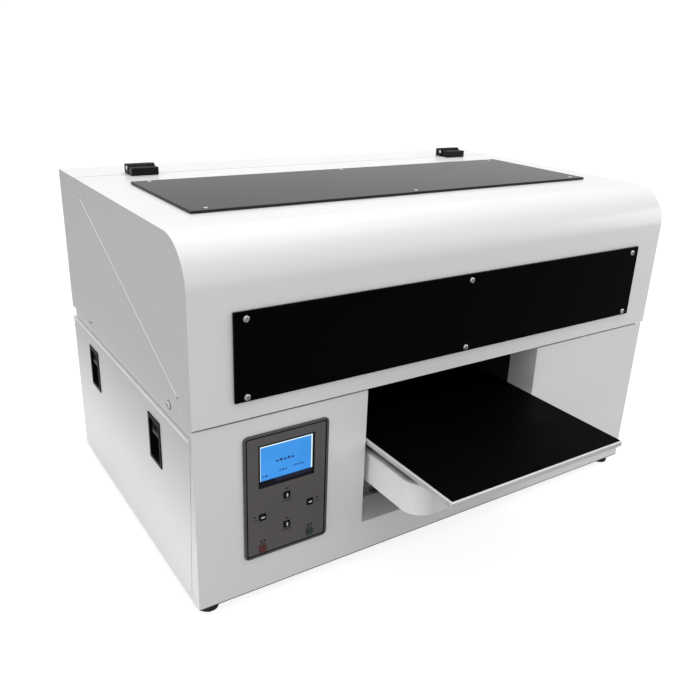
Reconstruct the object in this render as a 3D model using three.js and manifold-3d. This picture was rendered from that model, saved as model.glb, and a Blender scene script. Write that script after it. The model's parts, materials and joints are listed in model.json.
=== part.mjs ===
// Desktop flatbed UV printer: a folded sheet steel case with a hinged hood, a table that
// slides out of the front and lifts, and a print head carriage on a gantry above it.
// Units are millimetres. +Z is up, +X is to the right seen from the front, and the front
// looks along -Y. The origin is on the floor, at the middle of the footprint that the
// case and the pulled-out table cover together.
import * as THREE from 'three';
import { mergeVertices } from 'three/addons/utils/BufferGeometryUtils.js';
import Module from 'manifold-3d';

const wasm = await Module();
wasm.setup();

// ---------------------------------------------------------------- driving dimensions
const caseWidth = 700;
const caseDepth = 435;
const footHeight = 12;
const baseHeight = 220;
const hoodHeight = 192;
const hoodSeam = 3;
const sheet = 2;
const gap = 0.3;

const tableOverhang = 152;
const tableWidth = 267;
const tableDepth = 300;
const matThickness = 0.8;
const printGap = 1.9;
const tableTravel = 250;
const tableLift = 42;

const headTravel = 420;
const hoodBend = 50;
const hoodProud = 2.5;
const sideSeam = 1.5;

// ---------------------------------------------------------------- places worked out
const sideX = caseWidth / 2;
const frontY = (tableOverhang - caseDepth) / 2;
const backY = frontY + caseDepth;
const bottomZ = footHeight;
const deckZ = bottomZ + baseHeight;
const hoodBottomZ = deckZ + hoodSeam;
const topZ = hoodBottomZ + hoodHeight;
const hoodFrontY = frontY - hoodProud;
const floorTopZ = bottomZ + sheet;
const tableTopZ = bottomZ + 154.3;

// ---------------------------------------------------------------- materials
function material(color, roughness, metalness) {
  return new THREE.MeshStandardMaterial({ color, roughness, metalness });
}
const whitePaint = material(0xe9e9e9, 0.45, 0.1);
const greyPaint = material(0x9a9a9c, 0.5, 0.2);
const blackPaint = material(0x0b0b0c, 0.7, 0.1);
const blackPlastic = material(0x121213, 0.45, 0.0);
const darkGreyFilm = material(0x545050, 0.5, 0.0);
const smokedAcrylic = material(0x3c3a3d, 0.1, 0.0);
const blackAcrylic = material(0x050506, 0.12, 0.0);
const lcdBlue = material(0x3d8fe0, 0.3, 0.0);
const blackRubber = material(0x0a0a0a, 0.85, 0.0);
const steel = material(0xb9bbbe, 0.3, 0.9);
const aluminium = material(0xd3d5d8, 0.35, 0.8);
const greenBoard = material(0x1d5b33, 0.5, 0.0);
const redPlastic = material(0xa01818, 0.4, 0.0);
const inkTankPlastic = material(0xd9dde2, 0.3, 0.0);

// ---------------------------------------------------------------- shape helpers
function block(x0, x1, y0, y1, z0, z1) {
  const geometry = new THREE.BoxGeometry(x1 - x0, y1 - y0, z1 - z0);
  return geometry.translate((x0 + x1) / 2, (y0 + y1) / 2, (z0 + z1) / 2);
}

function outline(points) {
  return new THREE.Shape(points.map(([a, b]) => new THREE.Vector2(a, b)));
}

function rectangle(a0, a1, b0, b1) {
  return outline([[a0, b0], [a1, b0], [a1, b1], [a0, b1]]);
}

function roundedRectangle(a0, a1, b0, b1, radius) {
  const shape = new THREE.Shape();
  shape.absarc(a1 - radius, b0 + radius, radius, -Math.PI / 2, 0, false);
  shape.absarc(a1 - radius, b1 - radius, radius, 0, Math.PI / 2, false);
  shape.absarc(a0 + radius, b1 - radius, radius, Math.PI / 2, Math.PI, false);
  shape.absarc(a0 + radius, b0 + radius, radius, Math.PI, 1.5 * Math.PI, false);
  return shape;
}

function circle(a, b, radius) {
  const shape = new THREE.Shape();
  shape.absarc(a, b, radius, 0, 2 * Math.PI, false);
  return shape;
}

function extrude(shape, length, segments) {
  return new THREE.ExtrudeGeometry(shape, {
    depth: length,
    bevelEnabled: false,
    curveSegments: segments,
  });
}

// A shape drawn in (y, z), from x0 to x1.
function alongX(shape, x0, x1, segments = 6) {
  const turn = new THREE.Matrix4().makeBasis(
    new THREE.Vector3(0, 1, 0), new THREE.Vector3(0, 0, 1), new THREE.Vector3(1, 0, 0));
  return extrude(shape, x1 - x0, segments).applyMatrix4(turn).translate(x0, 0, 0);
}

// A shape drawn in (x, z), from y0 to y1.
function alongY(shape, y0, y1, segments = 6) {
  const turn = new THREE.Matrix4().makeBasis(
    new THREE.Vector3(1, 0, 0), new THREE.Vector3(0, 0, 1), new THREE.Vector3(0, -1, 0));
  return extrude(shape, y1 - y0, segments).applyMatrix4(turn).translate(0, y1, 0);
}

// A shape drawn in (x, y), from z0 to z1.
function alongZ(shape, z0, z1, segments = 6) {
  return extrude(shape, z1 - z0, segments).translate(0, 0, z0);
}

function rodX(y, z, radius, x0, x1, sides = 20) {
  const geometry = new THREE.CylinderGeometry(radius, radius, x1 - x0, sides);
  return geometry.rotateZ(Math.PI / 2).translate((x0 + x1) / 2, y, z);
}

function rodY(x, z, radius, y0, y1, sides = 20) {
  const geometry = new THREE.CylinderGeometry(radius, radius, y1 - y0, sides);
  return geometry.translate(x, (y0 + y1) / 2, z);
}

function rodZ(x, y, radius, z0, z1, sides = 20) {
  const geometry = new THREE.CylinderGeometry(radius, radius, z1 - z0, sides);
  return geometry.rotateX(Math.PI / 2).translate(x, y, (z0 + z1) / 2);
}

// ---------------------------------------------------------------- joining and cutting
function toSolid(geometry) {
  const bare = geometry.clone();
  bare.deleteAttribute('normal');
  bare.deleteAttribute('uv');
  const merged = mergeVertices(bare, 1e-4);
  const vertProperties = new Float32Array(merged.attributes.position.array);
  const triVerts = new Uint32Array(merged.index.array);
  return new wasm.Manifold(new wasm.Mesh({ numProp: 3, vertProperties, triVerts }));
}

function toGeometry(solid) {
  const mesh = solid.getMesh();
  const geometry = new THREE.BufferGeometry();
  geometry.setAttribute('position', new THREE.BufferAttribute(mesh.vertProperties, 3));
  geometry.setIndex(new THREE.BufferAttribute(mesh.triVerts, 1));
  geometry.computeVertexNormals();
  return geometry;
}

function join(first, ...others) {
  return toGeometry(others.reduce((sum, next) => sum.add(toSolid(next)), toSolid(first)));
}

function cut(first, ...tools) {
  const rest = tools.reduce((left, tool) => left.subtract(toSolid(tool)), toSolid(first));
  return toGeometry(rest);
}

// Plates with holes right through them, across X and across Y.
function piercedX(shape, holes, x0, x1, segments = 6) {
  const tools = holes.map((hole) => alongX(hole, x0 - 1, x1 + 1, segments));
  return cut(alongX(shape, x0, x1, segments), ...tools);
}

function piercedY(shape, holes, y0, y1, segments = 6) {
  const tools = holes.map((hole) => alongY(hole, y0 - 1, y1 + 1, segments));
  return cut(alongY(shape, y0, y1, segments), ...tools);
}

// ---------------------------------------------------------------- the scene graph
const printer = new THREE.Group();

function bodyGroup() {
  const group = new THREE.Group();
  printer.add(group);
  return group;
}
const base = bodyGroup();
const lid = bodyGroup();
const tableSlide = bodyGroup();
const tableTop = bodyGroup();
const headSlide = bodyGroup();

function addPart(group, name, geometry, look, x = 0, y = 0, z = 0) {
  const mesh = new THREE.Mesh(geometry, look);
  mesh.name = name;
  mesh.position.set(x, y, z);
  group.add(mesh);
}

// ---------------------------------------------------------------- front opening and display
const openingX = 136;
const sillZ = bottomZ + 41;
const returnDepth = 47;

const display = { x0: -294.5, x1: -189, z0: 57.5, z1: 212.5, radius: 6, thickness: 2 };
const lcd = { x0: -277, x1: -207, z0: 145.5, z1: 198.5 };
const displayRebate = 4.5;
const buttonSize = 8;
const buttons = [
  ['button_up', -242, 128.6],
  ['button_right', -212, 110],
  ['button_left', -272.5, 109],
  ['button_down', -242, 90],
  ['button_escape', -272.4, 67.5],
  ['button_enter', -212, 69],
];

// The front panel's side wraps narrow towards the top, where the side panels meet them.
const wrapBottom = 20;
const wrapTop = 4;
const sidePanelTopZ = deckZ - 12;

function baseFrontPanel() {
  const face = outline([
    [-sideX, bottomZ], [sideX, bottomZ], [sideX, deckZ], [openingX, deckZ],
    [openingX, sillZ], [-openingX, sillZ], [-openingX, deckZ], [-sideX, deckZ],
  ]);
  const displayHole = rectangle(display.x0 + displayRebate, display.x1 - displayRebate,
    display.z0 + displayRebate, display.z1 - displayRebate);
  const wrap = outline([
    [frontY, bottomZ], [frontY + wrapBottom, bottomZ],
    [frontY + wrapTop, sidePanelTopZ], [frontY + wrapTop, deckZ], [frontY, deckZ],
  ]);
  const returnEnd = frontY + returnDepth;
  return join(
    piercedY(face, [displayHole], frontY, frontY + sheet),
    alongX(wrap, -sideX, -sideX + sheet),
    alongX(wrap, sideX - sheet, sideX),
    block(-openingX - sheet, -openingX, frontY, returnEnd, sillZ - sheet, deckZ),
    block(openingX, openingX + sheet, frontY, returnEnd, sillZ - sheet, deckZ),
    block(-openingX - sheet, openingX + sheet, frontY, returnEnd, sillZ - sheet, sillZ),
  );
}

function displayBezel() {
  const plate = roundedRectangle(
    display.x0, display.x1, display.z0, display.z1, display.radius);
  const clear = gap;
  const half = buttonSize / 2 + clear;
  const holes = buttons.map(([, x, z]) => rectangle(x - half, x + half, z - half, z + half));
  holes.push(rectangle(lcd.x0, lcd.x1, lcd.z0, lcd.z1));
  const back = frontY - gap;
  return piercedY(plate, holes, back - display.thickness, back, 4);
}

// The circuit board carries the liquid crystal screen in front and sits behind the keys.
const boardY = frontY + 4;
function controlBoard() {
  const fit = 0.4;
  return join(
    block(display.x0 + 6.5, display.x1 - 6.5, boardY, boardY + 1.6,
      display.z0 + 6.5, display.z1 - 6.5),
    block(lcd.x0 + fit, lcd.x1 - fit, frontY - 1.8, boardY + 0.5,
      lcd.z0 + fit, lcd.z1 - fit),
  );
}

// A key: its cap passes through the bezel, and a collar behind it stops it falling out.
const keyProud = 0.8;
function keyCap() {
  const half = buttonSize / 2;
  const collar = half + 1.2;
  const capFront = -gap - display.thickness - keyProud;
  return join(
    block(-half, half, capFront, 2.7, -half, half),
    block(-collar, collar, 0, 1.2, -collar, collar),
  );
}

// ---------------------------------------------------------------- side panels and latches
const latch = { width: 37, height: 58, z: 173, ys: [frontY + 109.5, frontY + 340.5] };
const latchCup = { wall: 1.5, depth: 12, proud: 1, rim: 2.3 };
const latchTravel = 8;

// Depth runs inwards from the case's side face, on the side that the sign names.
function sideBlock(side, d0, d1, y0, y1, z0, z1) {
  const ends = [side * (sideX - d0), side * (sideX - d1)].sort((a, b) => a - b);
  return block(ends[0], ends[1], y0, y1, z0, z1);
}

function sidePanel(side) {
  const seam = 1;
  const shape = outline([
    [frontY + wrapBottom + seam, bottomZ + gap], [backY, bottomZ + gap],
    [backY, sidePanelTopZ], [frontY + wrapTop + seam, sidePanelTopZ],
  ]);
  const halfWide = latch.width / 2 - 2;
  const halfHigh = latch.height / 2 - 2;
  const holes = latch.ys.map((y) => rectangle(
    y - halfWide, y + halfWide, latch.z - halfHigh, latch.z + halfHigh));
  const x = side < 0 ? -sideX : sideX - sheet;
  const lip = sideBlock(side, 0, sheet + 0.7, frontY + 8, backY - sheet - gap,
    sidePanelTopZ - sheet, sidePanelTopZ);
  return join(piercedX(shape, holes, x, x + sheet), lip);
}

function latchHousing(side) {
  const halfWide = latch.width / 2;
  const halfHigh = latch.height / 2;
  const bodyWide = halfWide - latchCup.rim;
  const bodyHigh = halfHigh - latchCup.rim;
  const inWide = bodyWide - latchCup.wall;
  const inHigh = bodyHigh - latchCup.wall;
  const shell = join(
    sideBlock(side, -latchCup.proud - gap, -gap, -halfWide, halfWide, -halfHigh, halfHigh),
    sideBlock(side, -gap - 0.5, latchCup.depth, -bodyWide, bodyWide, -bodyHigh, bodyHigh),
  );
  const cavity = sideBlock(side, -latchCup.proud - 1, latchCup.depth - latchCup.wall,
    -inWide, inWide, -inHigh, inHigh);
  return cut(shell, cavity);
}

// The sliding tongue: a finger presses its lower edge down to free the panel.
function latchSlider(side) {
  const clear = 0.4;
  const halfWide = latch.width / 2 - latchCup.rim - latchCup.wall - clear;
  const top = latch.height / 2 - latchCup.rim - latchCup.wall - clear;
  const inner = latchCup.depth - latchCup.wall - clear;
  return join(
    sideBlock(side, 2.5, inner, -halfWide, halfWide, top - 20, top),
    sideBlock(side, 0.8, inner, -halfWide + 3, halfWide - 3, top - 20, top - 15),
  );
}

// ---------------------------------------------------------------- the rest of the base
function baseFloorPan() {
  const inset = sheet + gap;
  const rise = 14;
  const outer = block(-sideX + inset, sideX - inset, frontY + inset, backY - inset,
    bottomZ, bottomZ + rise);
  const hollow = block(-sideX + inset + sheet, sideX - inset - sheet,
    frontY + inset + sheet, backY - inset - sheet, floorTopZ, bottomZ + rise + 1);
  return cut(outer, hollow);
}

const inlet = { x: 250, z: 75, halfWide: 17, halfHigh: 27 };
function baseRearPanel() {
  const inset = sheet + gap;
  const margin = 2.5;
  const face = rectangle(-sideX + inset, sideX - inset, bottomZ + gap, sidePanelTopZ);
  const hole = rectangle(inlet.x - inlet.halfWide + margin, inlet.x + inlet.halfWide - margin,
    inlet.z - inlet.halfHigh + margin, inlet.z + inlet.halfHigh - margin);
  return piercedY(face, [hole], backY - sheet, backY);
}

// The deck frame stiffens the top of the base and shows as a recessed band below the hood.
const band = { recess: 3, low: deckZ - 27, high: deckZ + 15, flange: 10 };
function deckFrame() {
  const x = sideX - band.recess;
  const y0 = frontY + wrapTop + 2;
  const y1 = backY - band.recess;
  const upright = cut(
    block(-x, x, y0, y1, band.low, band.high),
    block(-x + sheet, x - sheet, y0 - 1, y1 - sheet, band.low - 1, band.high + 1));
  const ledge = cut(
    block(-x, x, y0, y1, band.low, band.low + sheet),
    block(-x + band.flange, x - band.flange, y0 - 1, y1 - band.flange, band.low - 1,
      band.high));
  return join(upright, ledge);
}

const footPlace = { x: sideX - 18, front: frontY + 18, back: backY - 25 };
function foot() {
  const top = footHeight - gap;
  const profile = [[0, 0], [10.5, 0], [12, 1.5], [12, 8.5], [9.5, top], [0, top]];
  const points = profile.map(([r, z]) => new THREE.Vector2(r, z));
  return new THREE.LatheGeometry(points, 20).rotateX(Math.PI / 2);
}

// The inlet holds the mains socket below and the rocker switch above.
const socket = { halfWide: 12, z0: -21, z1: -4, depth: 14 };
const rockerHole = { halfWide: 6.6, z0: 2, z1: 21 };
function powerInlet() {
  const { halfWide, halfHigh } = inlet;
  const rim = 2.8;
  return cut(
    join(
      block(-halfWide, halfWide, gap, gap + 1.5, -halfHigh, halfHigh),
      block(-halfWide + rim, halfWide - rim, -20, gap + 0.5, -halfHigh + rim,
        halfHigh - rim)),
    block(-socket.halfWide, socket.halfWide, -socket.depth, 3, socket.z0, socket.z1),
    block(-rockerHole.halfWide, rockerHole.halfWide, -12, 3, rockerHole.z0, rockerHole.z1),
  );
}

const rockerPivot = { y: -3, z: (rockerHole.z0 + rockerHole.z1) / 2 };
function powerSwitch() {
  const profile = outline([[-4, -4], [-1.5, -7.6], [1.2, -8.6], [2.4, 0], [5, 8], [-1, 8.2],
    [-4, 4]]);
  return alongX(profile, -rockerHole.halfWide + 0.5, rockerHole.halfWide - 0.5);
}

// ---------------------------------------------------------------- the hood and rear housing
// The hood's cheek ends on a seam that climbs from the front corner to the hinge line.
const hoodRearY = frontY + 361;
const cheek = {
  root: [frontY + 15.5, bottomZ + 198.1],
  toe: [frontY + 24, hoodBottomZ],
  heel: [frontY + 32.5, bottomZ + 245.5],
  shoulder: [frontY + 343, bottomZ + 393],
  crest: [frontY + 343, topZ],
};

// Where a seam of the given width puts the corner of the piece on its other side.
function acrossSeam(before, corner, after, width) {
  const direction = (from, to) => new THREE.Vector2(to[0] - from[0], to[1] - from[1]);
  const normals = [direction(before, corner), direction(corner, after)].map((d) => {
    const unit = d.normalize();
    return new THREE.Vector2(unit.y, -unit.x);
  });
  const share = width / (1 + normals[0].dot(normals[1]));
  const shift = normals[0].add(normals[1]).multiplyScalar(share);
  return [corner[0] + shift.x, corner[1] + shift.y];
}

// The hood's side view: its top sheet runs on past the cheek to the hinge line.
function hoodSideShape() {
  const shape = new THREE.Shape();
  shape.moveTo(hoodFrontY, hoodBottomZ);
  shape.lineTo(...cheek.toe);
  shape.lineTo(...cheek.heel);
  shape.lineTo(...cheek.shoulder);
  shape.lineTo(cheek.crest[0], topZ - sheet);
  shape.lineTo(hoodRearY, topZ - sheet);
  shape.lineTo(hoodRearY, topZ);
  shape.lineTo(hoodFrontY + hoodBend, topZ);
  shape.absarc(hoodFrontY + hoodBend, topZ - hoodBend, hoodBend, Math.PI / 2, Math.PI, false);
  return shape;
}

// The space inside the hood, open below and behind.
function hoodInsideShape() {
  const shape = new THREE.Shape();
  const beyond = 10;
  shape.moveTo(hoodFrontY + sheet, hoodBottomZ - beyond);
  shape.lineTo(hoodRearY + beyond, hoodBottomZ - beyond);
  shape.lineTo(hoodRearY + beyond, topZ - sheet);
  shape.lineTo(hoodFrontY + hoodBend, topZ - sheet);
  shape.absarc(hoodFrontY + hoodBend, topZ - hoodBend, hoodBend - sheet, Math.PI / 2,
    Math.PI, false);
  return shape;
}

const frontPane = { halfWide: 304, z0: bottomZ + 244, z1: bottomZ + 341, thickness: 3 };
const topPane = { halfWide: 300, y0: frontY + 102, y1: frontY + 291, thickness: 3 };
const paneLap = 12;

function lidShell() {
  const lipDepth = 14;
  const lipSide = 8;
  const shell = cut(
    alongX(hoodSideShape(), -sideX, sideX, 10),
    alongX(hoodInsideShape(), -sideX + sheet, sideX - sheet, 10));
  const lip = block(-sideX + lipSide, sideX - lipSide, hoodFrontY + 1, hoodFrontY + lipDepth,
    hoodBottomZ, hoodBottomZ + sheet);
  return cut(
    join(shell, lip),
    block(-frontPane.halfWide + paneLap, frontPane.halfWide - paneLap, hoodFrontY - 5,
      hoodFrontY + 5, frontPane.z0 + paneLap, frontPane.z1 - paneLap),
    block(-topPane.halfWide + paneLap, topPane.halfWide - paneLap, topPane.y0 + paneLap,
      topPane.y1 - paneLap, topZ - 5, topZ + 5),
  );
}

function frontWindow() {
  const back = hoodFrontY - gap;
  return block(-frontPane.halfWide, frontPane.halfWide, back - frontPane.thickness, back,
    frontPane.z0, frontPane.z1);
}

function topWindow() {
  const low = topZ + gap;
  return block(-topPane.halfWide, topPane.halfWide, topPane.y0, topPane.y1, low,
    low + topPane.thickness);
}

const fan = { x: -200, z: bottomZ + 320, half: 40, bore: 37, depth: 22 };
function rearHousing() {
  const toe = acrossSeam(cheek.root, cheek.toe, cheek.heel, sideSeam);
  const heel = acrossSeam(cheek.toe, cheek.heel, cheek.shoulder, sideSeam);
  const shoulder = acrossSeam(cheek.heel, cheek.shoulder, cheek.crest, sideSeam);
  const underHood = topZ - sheet - 1;
  const stripY = hoodRearY + 2;
  const side = outline([
    [toe[0], hoodBottomZ], [backY, hoodBottomZ], [backY, topZ], [stripY, topZ],
    [stripY, underHood], [shoulder[0], underHood], shoulder, heel,
  ]);
  const back = rectangle(-sideX, sideX, hoodBottomZ, topZ);
  return join(
    alongX(side, -sideX, -sideX + sheet),
    alongX(side, sideX - sheet, sideX),
    piercedY(back, [circle(fan.x, fan.z, fan.bore)], backY - sheet, backY, 8),
    block(-sideX, sideX, stripY, backY, topZ - sheet, topZ),
  );
}

// ---------------------------------------------------------------- hood hinges
const hinge = { xs: [-262, 267], half: 18, y: frontY + 364.5, z: topZ + 8, radius: 5.5 };
const knuckle = { half: 7.7, pin: 2, bore: 2.3 };

function hingeLidLeaf() {
  const front = -18.5;
  const seat = gap - 8;
  return cut(
    join(
      block(-hinge.half, hinge.half, front, -6.2, seat, 2),
      block(-knuckle.half, knuckle.half, front + 4, 0, -5, 2),
      rodX(0, 0, hinge.radius, -knuckle.half, knuckle.half)),
    rodX(0, 0, knuckle.bore, -hinge.half - 1, hinge.half + 1, 12),
  );
}

function hingeBaseLeaf() {
  const rear = 11.5;
  const seat = gap - 8;
  const inner = knuckle.half + gap;
  const ear = (x0, x1) => join(
    block(x0, x1, 0, rear, seat, hinge.radius - 1.5),
    rodX(0, 0, hinge.radius, x0, x1));
  return join(
    ear(-hinge.half, -inner),
    ear(inner, hinge.half),
    block(-hinge.half, hinge.half, hinge.radius + 1, rear, seat, hinge.radius - 1.5),
    rodX(0, 0, knuckle.pin, -hinge.half - 0.6, hinge.half + 0.6, 12),
  );
}

// ---------------------------------------------------------------- gantry and its drive
const beam = { y0: 29, y1: 65, z0: 300, z1: 340, endX: 330 };
const rail = { depth: 8, z0: 312, z1: 328 };
const carriageRoom = 204;
const drive = {
  x: (headTravel + carriageRoom) / 2, z: 365, radius: 10, y0: 43, y1: 51, thickness: 1.5,
};

function gantryFrame() {
  const legWidth = 5;
  const leg = (x0) => block(x0, x0 + legWidth, beam.y0 - 14, beam.y1 + 20,
    floorTopZ + gap, beam.z1);
  const idlerZ1 = drive.z + 6;
  return join(
    block(-beam.endX, beam.endX, beam.y0, beam.y1, beam.z0, beam.z1),
    leg(-beam.endX - legWidth + 1),
    leg(beam.endX - 1),
    block(-beam.endX + 2, beam.endX - 2, beam.y0 - rail.depth, beam.y0 + 1, rail.z0, rail.z1),
    block(-drive.x - 8, -drive.x + 8, 55, 61, beam.z1 - 1, idlerZ1),
    rodY(-drive.x, drive.z, 3, drive.y0 - 3, 56, 16),
  );
}

function stadium(x0, x1, z, radius) {
  const shape = new THREE.Shape();
  shape.absarc(x1, z, radius, -Math.PI / 2, Math.PI / 2, false);
  shape.absarc(x0, z, radius, Math.PI / 2, 1.5 * Math.PI, false);
  return shape;
}

function carriageBelt() {
  const inner = drive.radius + gap;
  const loop = stadium(-drive.x, drive.x, drive.z, inner + drive.thickness);
  const inside = stadium(-drive.x, drive.x, drive.z, inner);
  return piercedY(loop, [inside], drive.y0, drive.y1, 10);
}

const motor = { half: 21, length: 38, boss: 11, shaft: 2.5 };
const carriageMotorY = 58;
function carriageMotor() {
  return cut(
    join(
      block(-motor.half, motor.half, carriageMotorY, carriageMotorY + motor.length,
        -motor.half, motor.half),
      rodY(0, 0, motor.boss, carriageMotorY - 2, carriageMotorY + 1)),
    rodY(0, 0, motor.shaft + gap, carriageMotorY - 5, carriageMotorY + motor.length - 4, 16),
  );
}

function pulleyWheel() {
  const flange = drive.radius + 3;
  return join(
    rodY(0, 0, drive.radius, drive.y0 - 1.5, drive.y1 + 1.5, 24),
    rodY(0, 0, flange, drive.y0 - 1.8, drive.y0 - 0.5, 24),
    rodY(0, 0, flange, drive.y1 + 0.5, drive.y1 + 1.8, 24),
  );
}

function carriageMotorPulley() {
  const shaftEnd = carriageMotorY + motor.length - 6;
  return join(pulleyWheel(), rodY(0, 0, motor.shaft, drive.y0 - 3, shaftEnd, 16));
}

function carriageIdlerPulley() {
  return cut(pulleyWheel(), rodY(0, 0, 3 + gap, drive.y0 - 5, drive.y1 + 5, 16));
}

// ---------------------------------------------------------------- print head carriage
const head = { x: 225, y: -45, bottomZ: tableTopZ + matThickness + tableLift + printGap };
function printheadCarriage() {
  const wall = 3;
  const [x0, x1] = [head.x - 62, head.x + 62];
  const [y0, y1] = [head.y - 47, head.y + 45];
  const floorZ = head.bottomZ + 5;
  const topOfBox = 296;
  const boxShell = cut(
    block(x0, x1, y0, y1, floorZ, topOfBox),
    block(x0 + wall, x1 - wall, y0 + wall, y1 - wall, floorZ + wall, topOfBox + 1));
  const backPlate = block(x0 + 8, x1 - 8, y1 - 1, beam.y0 - rail.depth - 9,
    floorZ + 40, beam.z1 + 10);
  const bearing = block(x0 + 12, x1 - 12, beam.y0 - rail.depth - 10, beam.y0 - 1.5,
    rail.z0 - 9, rail.z1 + 9);
  const arm = block(head.x - 12, head.x + 12, beam.y0 - rail.depth - 12, drive.y1 + 1,
    beam.z1 + 4, beam.z1 + 21);
  const railSlot = block(x0 - 5, x1 + 5, beam.y0 - rail.depth - 0.5, beam.y0,
    rail.z0 - 0.5, rail.z1 + 0.5);
  const beltLow = drive.z - drive.radius - gap - drive.thickness;
  const beltSlot = block(head.x - 15, head.x + 15, drive.y0 - 0.5, drive.y1 + 5,
    beltLow - 0.4, beltLow + drive.thickness + 0.4);
  const headHole = block(head.x - 31, head.x + 31, head.y - 31, head.y + 31,
    floorZ - 1, floorZ + wall + 1);
  return cut(join(boxShell, backPlate, bearing, arm), railSlot, beltSlot, headHole);
}

function printHead() {
  return join(
    block(head.x - 30, head.x + 30, head.y - 30, head.y + 30, head.bottomZ, 250),
    block(head.x - 20, head.x + 20, head.y - 12, head.y + 12, 249, 275),
  );
}

const lampX = head.x - 62 - gap;
function uvLamp() {
  const bodyTop = 290;
  const fins = 6;
  const pieces = [block(lampX - 34, lampX, head.y - 35, head.y + 35, head.bottomZ + 3,
    bodyTop)];
  for (let i = 0; i < fins; i += 1) {
    const y = head.y - 30 + i * 11;
    pieces.push(block(lampX - 32, lampX - 2, y, y + 4, bodyTop - 1, bodyTop + 14));
  }
  return join(...pieces);
}

// ---------------------------------------------------------------- table, lift and slide
const table = { halfWide: tableWidth / 2, topZ: tableTopZ, thickness: 6.3 };
const tableFrontY = frontY - tableOverhang;
const tableRearY = tableFrontY + tableDepth;
const postY = -40;
const guideX = 60;
const railX = 85;
const slidePlate = { y0: -80, y1: 0, z0: 50, z1: 56, halfWide: 105 };

function tablePlate() {
  return block(-table.halfWide, table.halfWide, tableFrontY, tableRearY,
    table.topZ - table.thickness, table.topZ);
}

function tableMat() {
  const inset = 2;
  return block(-table.halfWide + inset, table.halfWide - inset, tableFrontY + inset,
    tableRearY - inset, table.topZ + gap, table.topZ + gap + matThickness);
}

// The housing under the table is an open-bottomed tub with rounded front corners, and a
// narrower neck joins its shoulder to the plate.
const tub = {
  halfWide: 130, corner: 26, y0: frontY - 91, y1: 0, z0: bottomZ + 95.7,
  shoulderZ: bottomZ + 135.5, neckInset: 7, wall: 3,
};

// The tub's plan, drawn in by the inset at the front and the sides, and ended at y1.
function tubShape(inset, y1) {
  const halfWide = tub.halfWide - inset;
  const radius = tub.corner - inset;
  const centreX = halfWide - radius;
  const centreY = tub.y0 + tub.corner;
  const shape = new THREE.Shape();
  shape.moveTo(-halfWide, y1);
  shape.lineTo(-halfWide, centreY);
  shape.absarc(-centreX, centreY, radius, Math.PI, 1.5 * Math.PI, false);
  shape.absarc(centreX, centreY, radius, 1.5 * Math.PI, 2 * Math.PI, false);
  shape.lineTo(halfWide, y1);
  return shape;
}

const liftScrew = { radius: 5, z1: 155 };
const guidePost = { radius: 8 };
function tableHousing() {
  const ceiling = table.topZ - table.thickness - gap;
  const { z0, y1, shoulderZ, neckInset, wall } = tub;
  const overlap = 1;
  const steps = 8;
  const outside = join(
    alongZ(tubShape(0, y1), z0, shoulderZ, steps),
    alongZ(tubShape(neckInset, y1), shoulderZ - overlap, ceiling, steps));
  const inside = join(
    alongZ(tubShape(wall, y1 - wall), z0 - overlap, shoulderZ - wall, steps),
    alongZ(tubShape(neckInset + wall, y1 - wall), shoulderZ - wall - overlap,
      ceiling - wall, steps));
  const bridgeEnd = tub.halfWide - neckInset - overlap;
  const bridge = block(-bridgeEnd, bridgeEnd, postY - 16, postY + 16, z0 + 14,
    ceiling - overlap);
  const running = 0.5;
  return cut(
    join(cut(outside, inside), bridge),
    rodZ(-guideX, postY, guidePost.radius + running, tub.z0 - 5, ceiling - 1),
    rodZ(guideX, postY, guidePost.radius + running, tub.z0 - 5, ceiling - 1),
    rodZ(0, postY, liftScrew.radius + running, tub.z0 - 5, ceiling - 1),
  );
}

function tableRail(x) {
  const y0 = slidePlate.y0 - 6;
  const y1 = slidePlate.y1 + tableTravel;
  return join(
    block(x - 12, x + 12, y0, y1, floorTopZ + gap, 30),
    block(x - 7, x + 7, y0, y1, 29, 44),
  );
}

function tableCarriage() {
  const { y0, y1, z0, z1, halfWide } = slidePlate;
  const shoes = [-railX, railX].flatMap((x) => [y0 + 3, y1 - 33].map((y) => cut(
    block(x - 14, x + 14, y, y + 30, 33, z0 + 1),
    block(x - 7.5, x + 7.5, y - 1, y + 31, 32, 44.5))));
  const beltTop = tableBelt.z + tableBelt.radius + gap;
  const clamp = cut(
    block(12, 27, -50, -30, beltTop - 4.5, z0 + 1),
    block(16.5, 28, -51, -29, beltTop - 0.4, beltTop + tableBelt.thickness + 0.4));
  const screwSeat = rodZ(0, postY, 14, z1 - 1, z1 + 8);
  return cut(
    join(
      block(-halfWide, halfWide, y0, y1, z0, z1),
      ...shoes,
      clamp,
      screwSeat,
      rodZ(-guideX, postY, guidePost.radius, z1 - 1, liftScrew.z1),
      rodZ(guideX, postY, guidePost.radius, z1 - 1, liftScrew.z1)),
    rodZ(0, postY, liftScrew.radius + gap, z1 + 2, z1 + 20),
  );
}

function liftScrewRod() {
  return rodZ(0, postY, liftScrew.radius, slidePlate.z1 + 2.3, liftScrew.z1);
}

// The table's drive: a motor beside the tunnel turns a cross shaft with a belt pulley.
const tableBelt = { y: 257, z: 36, radius: 8, thickness: 1.3, x0: 17, x1: 23 };
const tableMotorX = 150;
function tableMotor() {
  return cut(
    block(tableMotorX, tableMotorX + motor.length, tableBelt.y - motor.half,
      tableBelt.y + motor.half, tableBelt.z - motor.half, tableBelt.z + motor.half),
    rodX(tableBelt.y, tableBelt.z, 3 + gap, tableMotorX - 1,
      tableMotorX + motor.length - 4, 16),
  );
}

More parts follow.
